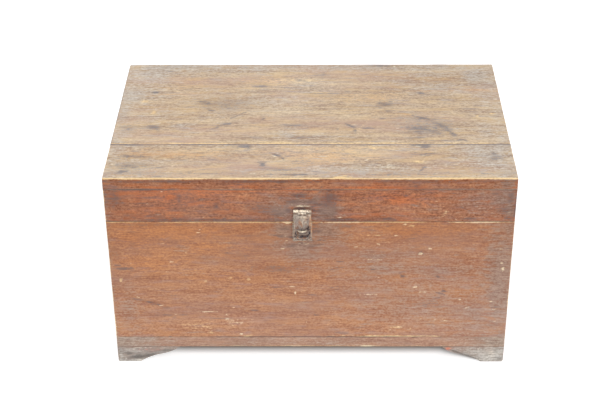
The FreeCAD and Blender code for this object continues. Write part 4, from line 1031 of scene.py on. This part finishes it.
# nails, brads and hinge pins keep the frame's own solids
for node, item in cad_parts.items():
    if any(word in node for word in ("nails", "brads")):
        item.data.materials[0] = bradIron if "brads" in node else nailIron
    elif node.startswith("hinge") and node.endswith("pin"):
        item.data.materials[0] = rustedIron


# iron: hasp, staple, hinges, screws

def gridFaces(rows, columns, along=False):
    # quads between neighbours of a grid that closes on itself around, and along if asked
    i, j = np.meshgrid(np.arange(rows if along else rows - 1), np.arange(columns),
                       indexing="ij")
    nextI, nextJ = (i + 1) % rows, (j + 1) % columns
    corners = (i * columns + j, i * columns + nextJ, nextI * columns + nextJ,
               nextI * columns + j)
    return np.stack(corners, -1).reshape(-1, 4)


def facedOut(points, faces):
    # six times the volume is the sum of a . (b x c) over triangles; below 0 it is inside out
    a, b, c, d = (points[faces[:, k]] for k in range(4))
    volume = np.einsum("ij,ij->", a, np.cross(b, c)) + np.einsum("ij,ij->", a, np.cross(c, d))
    return faces if volume > 0 else faces[:, ::-1]


def turned(profile, place, toward, sides=28):
    # profile: (along, radius) steps from one end to the other, spun about the axis;
    # both end discs shrink to a small ring that one face closes
    profile = np.array(profile, float)
    spin = np.array(Vector(toward).normalized().to_track_quat("X", "Z").to_matrix())
    angle = np.arange(sides) * 2 * math.pi / sides
    ring = np.stack([np.zeros(sides), np.cos(angle), np.sin(angle)], 1)
    points = profile[:, None, :1] * [1, 0, 0] + profile[:, None, 1:] * ring
    points = points.reshape(-1, 3) @ spin.T * mm + np.array(place) * mm
    faces = gridFaces(len(profile), sides)
    lids = [list(range(sides))[::-1], list(range(len(points) - sides, len(points)))]
    flipped = facedOut(points, faces)
    if flipped is not faces:
        lids = [lid[::-1] for lid in lids]
    along, level = profile[:, 0], profile[:, 1] / profile[:, 1].max()
    near = np.minimum(along - along.min(), along.max() - along)
    edge = np.repeat(np.exp(-near ** 2 / 0.6) * level, sides)
    return points, flipped.tolist() + lids, edge


def knuckle(low, high):
    # tube about the pin: rounded rims, ends closed round the pin's own head
    soft, radius = 0.35, hinge["radius"]
    rim = [(0, 0.2), (0, radius - soft), (soft * 0.3, radius - soft * 0.3)]
    count = max(3, int((high - low) / 1.5))
    profile = [(low + step, size) for step, size in rim]
    profile += [(x, radius) for x in np.linspace(low + soft, high - soft, count)]
    profile += [(high - step, size) for step, size in rim[::-1]]
    return turned(profile, (0, hingeLine, hingeLevel), (1, 0, 0), sides=36)


def sheet(low, high, cell=1.2, arris=0.45, bend=None):
    # a plate in mm with rounded edges
    low, high = np.array(low, float), np.array(high, float)
    rim = [0, 0.12, 0.3, 0.5, 0.9]
    points, faces = latticeShell([ticks(low[k], high[k], cell, rim) for k in range(3)])
    points = rounded(points, low, high, min(arris, 0.45 * (high - low).min()))[0]
    wide = np.argsort(high - low)[1:]
    edge = np.exp(-np.minimum(points - low, high - points)[:, wide].min(1) ** 2 / 0.8)
    return (bend(points) if bend else points) * mm, faces.tolist(), edge


def roundedBox(halfWide, low, high, radiusHigh, radiusLow):
    # closed outline: a quarter turn at each corner
    quarters = []
    for side, top, start in ((1, True, 0), (-1, True, 90), (-1, False, 180), (1, False, 270)):
        radius = radiusHigh if top else radiusLow
        turn = np.radians(start + np.linspace(0, 90, 7))
        x, y = side * (halfWide - radius), high - radius if top else low + radius
        quarters.append(np.stack([x + radius * np.cos(turn), y + radius * np.sin(turn)], 1))
    return np.concatenate(quarters)


def slottedSheet(outer, inner, centre, front, back, arris=0.45):
    # rays from the slot's middle meet both outlines; a rounded band runs along each ray:
    # face, outer edge, back, slot wall
    spokes = [(outline - centre, np.arctan2(*(outline - centre).T[::-1]))
              for outline in (outer, inner)]
    angles = np.unique(np.round(np.concatenate(
        [turn for _, turn in spokes] + [np.linspace(-math.pi, math.pi, 121)[:-1]]), 4))
    ray = np.stack([np.cos(angles), np.sin(angles)], 1)

    def cross(a, b):
        return a[:, 0] * b[:, 1] - a[:, 1] * b[:, 0]

    def meet(offset, turn):
        # ray t h meets the line p + s (q - p):  t = (p x q) / (h x (q - p))
        order = np.argsort(turn)
        turn, offset = turn[order], offset[order]
        turn = np.concatenate([turn[-1:] - 2 * math.pi, turn, turn[:1] + 2 * math.pi])
        offset = np.concatenate([offset[-1:], offset, offset[:1]])
        after = np.clip(np.searchsorted(turn, angles), 1, len(turn) - 1)
        p, q = offset[after - 1], offset[after]
        return ray * (cross(p, q) / cross(ray, q - p))[:, None]

    far, near = (meet(*spoke) for spoke in spokes)
    heading = (far - near) / np.linalg.norm(far - near, axis=1, keepdims=True)
    quarter = np.radians([0, 30, 60, 90])
    inward = math.copysign(arris, back - front)

    def edge(rim, sign, level, inward, turns):
        # a quarter round at a rim, from the flat's side to the wall or back
        return [(rim - sign * heading * arris * (1 - math.sin(turn)),
                 level + inward * (1 - math.cos(turn))) for turn in turns]

    band = [(near + (far - near) * share, front) for share in np.linspace(0, 1, 18)[1:-1]]
    band += edge(far, 1, front, inward, quarter) + edge(far, 1, back, -inward, quarter[::-1])
    band += [(near + (far - near) * share, back) for share in np.linspace(1, 0, 10)[1:-1]]
    band += edge(near, -1, back, -inward, quarter) + edge(near, -1, front, inward, quarter[::-1])
    flat = np.stack([ring for ring, _ in band]) + centre
    depth = np.array([level for _, level in band])[:, None, None] + np.zeros((1, len(angles), 1))
    points = np.concatenate([flat, depth], 2).reshape(-1, 3)
    fromEdge = np.minimum(*(np.linalg.norm(flat - centre - rim, axis=2) for rim in (near, far)))
    return (points, facedOut(points, gridFaces(len(band), len(angles), along=True)).tolist(),
            np.exp(-fromEdge.ravel() ** 2 / 1.2))


# patches: rows of middle (x, y, z), reach along x, y, z and strength, in mm
plainIron = {"dents": 0.12, "rubEdge": 0.7, "sooty": 0.5, "patches": {}}


def ironPiece(name, node, body, shapes, look):
    # shapes: (points, faces, edge); dents by noise, bright rubbed edges, soot in the hollows, and
    # patches of painted highlight and painted shade
    look = dict(plainIron, **look)
    points, edge = (np.concatenate([shape[k] for shape in shapes]) for k in (0, 2))
    faces, start = [], 0
    for shape in shapes:
        faces += [[index + start for index in face] for face in shape[1]]
        start += len(shape[0])
    dents = layered(points * 260, look["seed"] + 3, 3)
    points = points + (look["dents"] * mm) * dents[:, None] * np.array([0.3, 1, 0.3])
    patch = layered(points * 420, look["seed"] + 9, 3)
    worn = {"rub": edge * look["rubEdge"] * np.clip(0.75 + 0.7 * patch, 0, 1.3),
            "soot": np.clip(-0.15 - 0.9 * patch, 0, 1) * look["sooty"],
            "bloom": np.zeros(len(points))}
    for kind, rows in look["patches"].items():
        for x, y, z, *size, strength in rows:
            away = (points - np.array((x, y, z)) * mm) / (np.array(size) * mm)
            value = strength * np.exp(-(away ** 2).sum(1)) * np.clip(0.8 + 0.6 * patch, 0, 1.4)
            worn[kind] = np.maximum(worn[kind], value)
    worn["rub"] = worn["rub"] - worn["soot"] * 0.6
    piece = pieceFrom(name, points, faces, {kind: np.clip(values, 0, 1.2)
                                            for kind, values in worn.items()})
    finishPiece(piece, node, body, "rusted_iron", rustedIron)
    return piece


# leafRoll and flapRoll: from the pin's axis to the middle of the sheet that curls round it
hasp = {"across": -15.0, "axis": (-239.872, 372.5), "wall": -235.572, "sheet": 1.5,
        "barrel": 35.0, "middle": 15.0, "gap": 0.3, "rest": 12.0, "leafLow": 347,
        "leafRoll": 3.55, "flapRoll": 3.25, "flapOut": 4.0, "turn": 0.86}
haspY, haspZ = hasp["axis"]
wall, across, thick = hasp["wall"], hasp["across"], hasp["sheet"]
# three knuckles: the leaf's at both ends, the flap's in the middle
left, right = across - hasp["barrel"] / 2, across + hasp["barrel"] / 2
notch = hasp["middle"] / 2 + hasp["gap"]


def rolledUp(start, middle, side):
    # a strip that runs up to the pin's level and then curls round it:
    # angle = (height - pin level) / middle radius
    def bend(points):
        x, depth, height = points.T
        angle = np.clip((height - haspZ) / middle, 0, None)
        reach = middle + side * (depth - start)
        return np.stack([x, haspY + side * reach * np.cos(angle),
                         np.minimum(height, haspZ) + reach * np.sin(angle)], 1)
    return bend


curl = 2 * math.pi * hasp["flapRoll"] * hasp["turn"]
leafShapes = [sheet((left, wall - thick, hasp["leafLow"]), (right, wall, 367.9), 1.4)]
for low, high in ((left, across - notch), (across + notch, right)):
    leafShapes.append(sheet((low, wall - thick, 366), (high, wall, haspZ + curl), 0.9, 0.4,
                            rolledUp(wall - thick / 2, hasp["leafRoll"], 1)))
# the rub patches on both knuckles' tops are painted highlights
ironPiece("haspLeaf", "hasp_leaf", "lid", leafShapes, {"seed": 3, "rubEdge": 0.9, "patches": {
    "rub": [(-26, -243, 375.5, 8, 3, 3, 1.3), (-2, -243, 375, 7, 3, 3, 1.2)],
    "bloom": [(2.5, -236, 356, 1.5, 4, 10, 0.8)]}})

pinShape = turned([(-0.3, 0.3), (-0.3, 1.9), (-0.1, 2.2)] + [(x, 2.2) for x in range(2, 34, 2)]
                  + [(35.1, 2.2), (35.3, 1.9), (35.3, 0.3)],
                  (left, haspY, haspZ), (1, 0, 0), 20)
ironPiece("haspPin", "hasp_pin", "lid", [pinShape], {"seed": 5, "dents": 0.03})


def swung(points):
    # turned out about the pin by the rest angle
    turn = math.radians(-hasp["rest"])
    y, z = points[:, 1] - haspY, points[:, 2] - haspZ
    return np.stack([points[:, 0], haspY + y * math.cos(turn) - z * math.sin(turn),
                     haspZ + y * math.sin(turn) + z * math.cos(turn)], 1)


out = hasp["flapOut"]
plate = slottedSheet(roundedBox(16, -56, -4.8, 1.0, 12), roundedBox(12.5, -46.5, -37.5, 3, 3),
                     np.array([0, -42.0]), -out, thick - out)
# flat (across, up, out) to (x, y, z)
x, z, y = plate[0].T
platePoints = swung(np.stack([x + across, y + haspY, z + haspZ], 1)) * mm
tab = sheet((across - hasp["middle"] / 2, haspY - out, haspZ - 7),
            (across + hasp["middle"] / 2, haspY + (thick - out), haspZ + curl), 0.9, 0.4,
            rolledUp(haspY - hasp["flapRoll"], hasp["flapRoll"], -1))
flapShapes = [(platePoints, facedOut(platePoints, np.array(plate[1])).tolist(), plate[2]),
              (swung(tab[0] / mm) * mm, tab[1], tab[2])]
# the rub patches at 376.5 and 371 mm are painted highlights on the knuckle, the latter lighting
# the shade under the barrel; the soot patches in the knuckle's gaps and round the slot are painted
# shade with some soot
ironPiece("haspFlap", "hasp_flap", "hasp", flapShapes, {
    "seed": 7, "dents": 0.2, "rubEdge": 0.85, "sooty": 0.95, "patches": {
        "rub": [(-13, -245, 364, 11, 4, 3, 0.8), (-12, -248, 352, 7, 4, 8, 0.4),
                (-15, -243, 376.5, 12, 4, 2.2, 1.2), (-15, -246, 371, 20, 5, 1.5, 1.7),
                (-12, -246, 363, 9, 5, 1.6, 0.8)],
        "soot": [(-19.5, -246, 367.2, 3.4, 7, 1.5, 1.3), (-9.5, -246, 367.2, 3.4, 7, 1.5, 1.3),
                 (-22, -250, 340, 4, 5, 3, 0.6), (-3, -250, 340, 7, 5, 6, 1.2),
                 (-16, -254, 324.5, 13, 5, 3.6, 1.4), (-3, -253, 331, 5, 6, 6, 1.8),
                 (-26, -253, 330, 4, 6, 5, 1.6), (-4, -254, 325, 6, 6, 3, 1.5),
                 (-27, -254, 324, 4, 6, 3, 1.2), (-15, -250, 338, 12, 5, 2.4, 1.2)],
        "bloom": [(1, -248, 350, 1.9, 12, 12, 1), (-5, -244, 371, 2, 6, 3, 1),
                  (-24, -253, 322, 2, 6, 4, 0.7)]}})

# staple: the wire's ring follows legs and half-round loop, heading worked out from neighbours
staple = {"half": 8.0, "wire": 2.25, "tip": 14.5, "bury": 16.0, "level": 331.0, "ring": 16}
half, ring = staple["half"], staple["ring"]
bendY = wall - (staple["tip"] - half - staple["wire"])
legs = np.linspace(wall + staple["bury"], bendY, 12)
loop = np.linspace(0, math.pi, 22)[1:-1]
path = np.concatenate([
    np.stack([np.full(12, -half), legs], 1),
    np.stack([-half * np.cos(loop), bendY - half * np.sin(loop)], 1),
    np.stack([np.full(12, half), legs[::-1]], 1)])
heading = np.gradient(path, axis=0)
heading /= np.linalg.norm(heading, axis=1, keepdims=True)
side = np.stack([heading[:, 1], -heading[:, 0]], 1)
angle = np.arange(ring) * 2 * math.pi / ring
wire = np.full(len(path), staple["wire"])
wire[[0, -1]] = 0.5
wire[[1, -2]] = 1.6
flat = path[:, None, :] + side[:, None, :] * (wire[:, None] * np.cos(angle))[:, :, None]
rise = staple["level"] + wire[:, None] * np.sin(angle)
points = np.stack([flat[..., 0] + across, flat[..., 1], rise], -1).reshape(-1, 3) * mm
faces = facedOut(points, gridFaces(len(path), ring))
caps = [list(range(ring)), list(range(len(points) - ring, len(points)))]
caps = [caps[0], caps[1][::-1]] if faces[0][0] > faces[0][1] else [caps[0][::-1], caps[1]]
# the rub patch on the loop's front is a painted highlight
ironPiece("stapleLoop", "staple", "chest",
          [(points, faces.tolist() + caps, np.zeros(len(points)))],
          {"seed": 11, "dents": 0.05, "patches": {"rub": [(-15, -251, 333.5, 22, 9, 5, 2.6)]}})
# the soot patches are painted shade, behind the staple and below the flap's end
ironPiece("staplePlate", "staple_plate", "chest",
          [sheet((-34, wall - thick, 302.5), (4, wall, 344.5), 1.4)],
          {"seed": 13, "rubEdge": 0.9, "sooty": 0.9, "patches": {
              "soot": [(-15, -237, 330, 11, 3, 10, 1.2), (-10, -237, 309, 16, 3, 3, 0.9)],
              "bloom": [(4, -236, 330, 1.5, 4, 14, 0.9)]}})

hinge = {"radius": 3.8, "long": 63.0, "count": 5, "sheet": 2.0, "leaf": 14.0, "gap": 0.3,
         "lid": 0.15, "screwLine": 9.5, "screwPitch": 22.0}
pitch, root = hinge["long"] / hinge["count"], hingeLine - hinge["radius"] - hinge["gap"]
for sideName, middle in zip(("left", "right"), hingesAt):
    left, right = middle - hinge["long"] / 2, middle + hinge["long"] / 2
    for leafName, first, up, body in (("case", 0, -1, "chest"), ("lid", 1, 1, "lid")):
        near, far = sorted((up * hinge["lid"], up * (hinge["lid"] + hinge["sheet"])))
        low, high = hingeLevel + near, hingeLevel + far
        shapes = [sheet((left, hingeLine - hinge["leaf"], low), (right, root, high), 1.8, 0.3)]
        for index in range(first, hinge["count"], 2):
            start = left + index * pitch + hinge["gap"] / 2
            stop = start + pitch - hinge["gap"]
            shapes += [sheet((start, root - 1, low), (stop, hingeLine - 1, high), 1.8, 0.2),
                       knuckle(start, stop)]
        ironPiece(f"{sideName}Hinge{leafName.title()}Leaf", f"hinge_{sideName}_{leafName}_leaf",
                  body, shapes, {"seed": 17 + first, "dents": 0.06})


def slottedScrews(name, node, body, places, toward, seed):
    # heads flush with the plate, their slots cut as short bars each at its own angle
    profile = [(-2.2, 0.3), (-2.2, 1.5), (-1.4, 1.7), (-0.25, 2.75), (0.0, 2.9), (0.12, 2.7),
               (0.2, 1.6), (0.22, 0.3)]
    axis = np.array(toward, float)
    sideways = np.cross(axis, (0, 0, 1) if abs(axis[2]) < 0.5 else (1, 0, 0))
    slots = []
    for index, place in enumerate(places):
        turn = 0.9 * index + seed
        bar = sideways * math.cos(turn) + np.cross(axis, sideways) * math.sin(turn)
        wide = np.cross(axis, bar)
        corners = [bar * u + wide * v for u, v in ((4, 0.4), (-4, 0.4), (-4, -0.4), (4, -0.4))]
        slots.append([[tuple((np.array(place) + corner + axis * level) * mm)
                       for corner in corners] for level in (1.0, -0.6)])
    shapes = [turned(profile, place, toward, 24) for place in places]
    cutWith(ironPiece(name, node, body, shapes,
                      {"seed": int(seed * 10), "dents": 0.02, "sooty": 0.6}), slots)


plateFace = wall - thick
slottedScrews("haspLeafScrews", "hasp_leaf_screws", "lid",
              [(x, plateFace, 356.5) for x in (-24, -6)], (0, -1, 0), 0.4)
slottedScrews("staplePlateScrews", "staple_plate_screws", "chest",
              [(x, plateFace, z) for x in (-29.5, -0.5) for z in (307, 340)], (0, -1, 0), 1.1)
for leafName, up, body in (("case", 1, "chest"), ("lid", -1, "lid")):
    places = [(middle + step * hinge["screwPitch"], hingeLine - hinge["screwLine"],
               hingeLevel - up * hinge["lid"]) for middle in hingesAt for step in (-1, 0, 1)]
    slottedScrews(f"hinge{leafName.title()}Screws", f"hinge_{leafName}_screws", body, places,
                  (0, 0, up), 0.7)
print("hasp, staple and hinges done")


# floor and light

# floorShade warms the floor where the chest's shadow lies: painted bounce light from the wood
studio = {"floorSeen": (196, 196, 196), "floorShade": (192, 185, 172),
          "floorBounce": (244, 242, 240), "floorLift": 0.74, "floorLevel": -0.4 * mm,
          "reach": 12, "worldLevel": 0.46,
          # half the case's depth and its middle, and where the front right foot ends
          "halfDeep": 0.245, "middle": 0.01, "footX": (0.362, 0.272), "footY": (-0.17, -0.11),
          # size of the lamp, where it stands, watts
          "lamps": {"overhead": (2.6, (-0.3, -0.5, 2.6), 23),
                    "front": (1.8, (1.1, -3.3, 3.3), 95),
                    "rear": (1.6, (-2.2, 2.6, 1.3), 36)}}


def seenStraight(tree):
    # 1 where a ray comes from the camera, a mirror or glass
    camera, glossy, through = (add(tree, "LightPath", output=f"Is {kind} Ray")
                               for kind in ("Camera", "Glossy", "Transmission"))
    return reckon("MAXIMUM", camera, reckon("MAXIMUM", glossy, through))


floorMesh = bpy.data.meshes.new("floor")
floorMesh.from_pydata([(studio["reach"] * x, studio["reach"] * y, studio["floorLevel"])
                       for x, y in ((-1, -1), (1, -1), (1, 1), (-1, 1))], [], [(0, 1, 2, 3)])
floor = newObject("floor", floorMesh)
floorFinish, tree, shader = newFinish("floor")
seen = seenStraight(tree)
# the lift stops where the chest's shadow lies: at a depth under the chest that goes
# with the height of its underside, 40 mm between the feet and less at the front right foot
place = add(tree, "TexCoord", output="Object")
x, y = (add(tree, "SeparateXYZ", {"Vector": place}, axis) for axis in "XY")
fromSide = halfWide - reckon("ABSOLUTE", x)
fromFront = studio["halfDeep"] - reckon("ABSOLUTE", y - studio["middle"])
clear = reckon("MAXIMUM", between(x, *studio["footX"]), between(y, *studio["footY"]))
depth = reckon("DIVIDE", reckon("MINIMUM", fromSide, fromFront),
               clear * foot["high"] + 2 * mm)
under = between(depth, 1.3, 0.68)
put(shader["Roughness"], 0.9)
put(shader["Specular IOR Level"], 0.0)
put(shader["Emission Color"], (255, 255, 255))
put(shader["Emission Strength"], seen * studio["floorLift"] * under)
put(shader["Base Color"], blend(seen, studio["floorBounce"], blend(
    under, studio["floorShade"], studio["floorSeen"])))
floorMesh.materials.append(floorFinish)

world = bpy.data.worlds.new("studio")
scene.world = world
world.use_nodes = True
background, level = world.node_tree.nodes["Background"].inputs, studio["worldLevel"]
put(background["Color"], (255, 255, 255))
put(background["Strength"], seenStraight(world.node_tree) * (1 - level) + level)

for name, (size, place, watts) in studio["lamps"].items():
    lamp = bpy.data.lights.new(name, "AREA")
    lamp.size, lamp.energy = size, watts
    item = newObject(name, lamp)
    item.location = place
    item.rotation_euler = (Vector((0, 0, 0.3)) - item.location).to_track_quat("-Z", "Y").to_euler()

scene.view_settings.view_transform = "Standard"
print("light and floor ready")
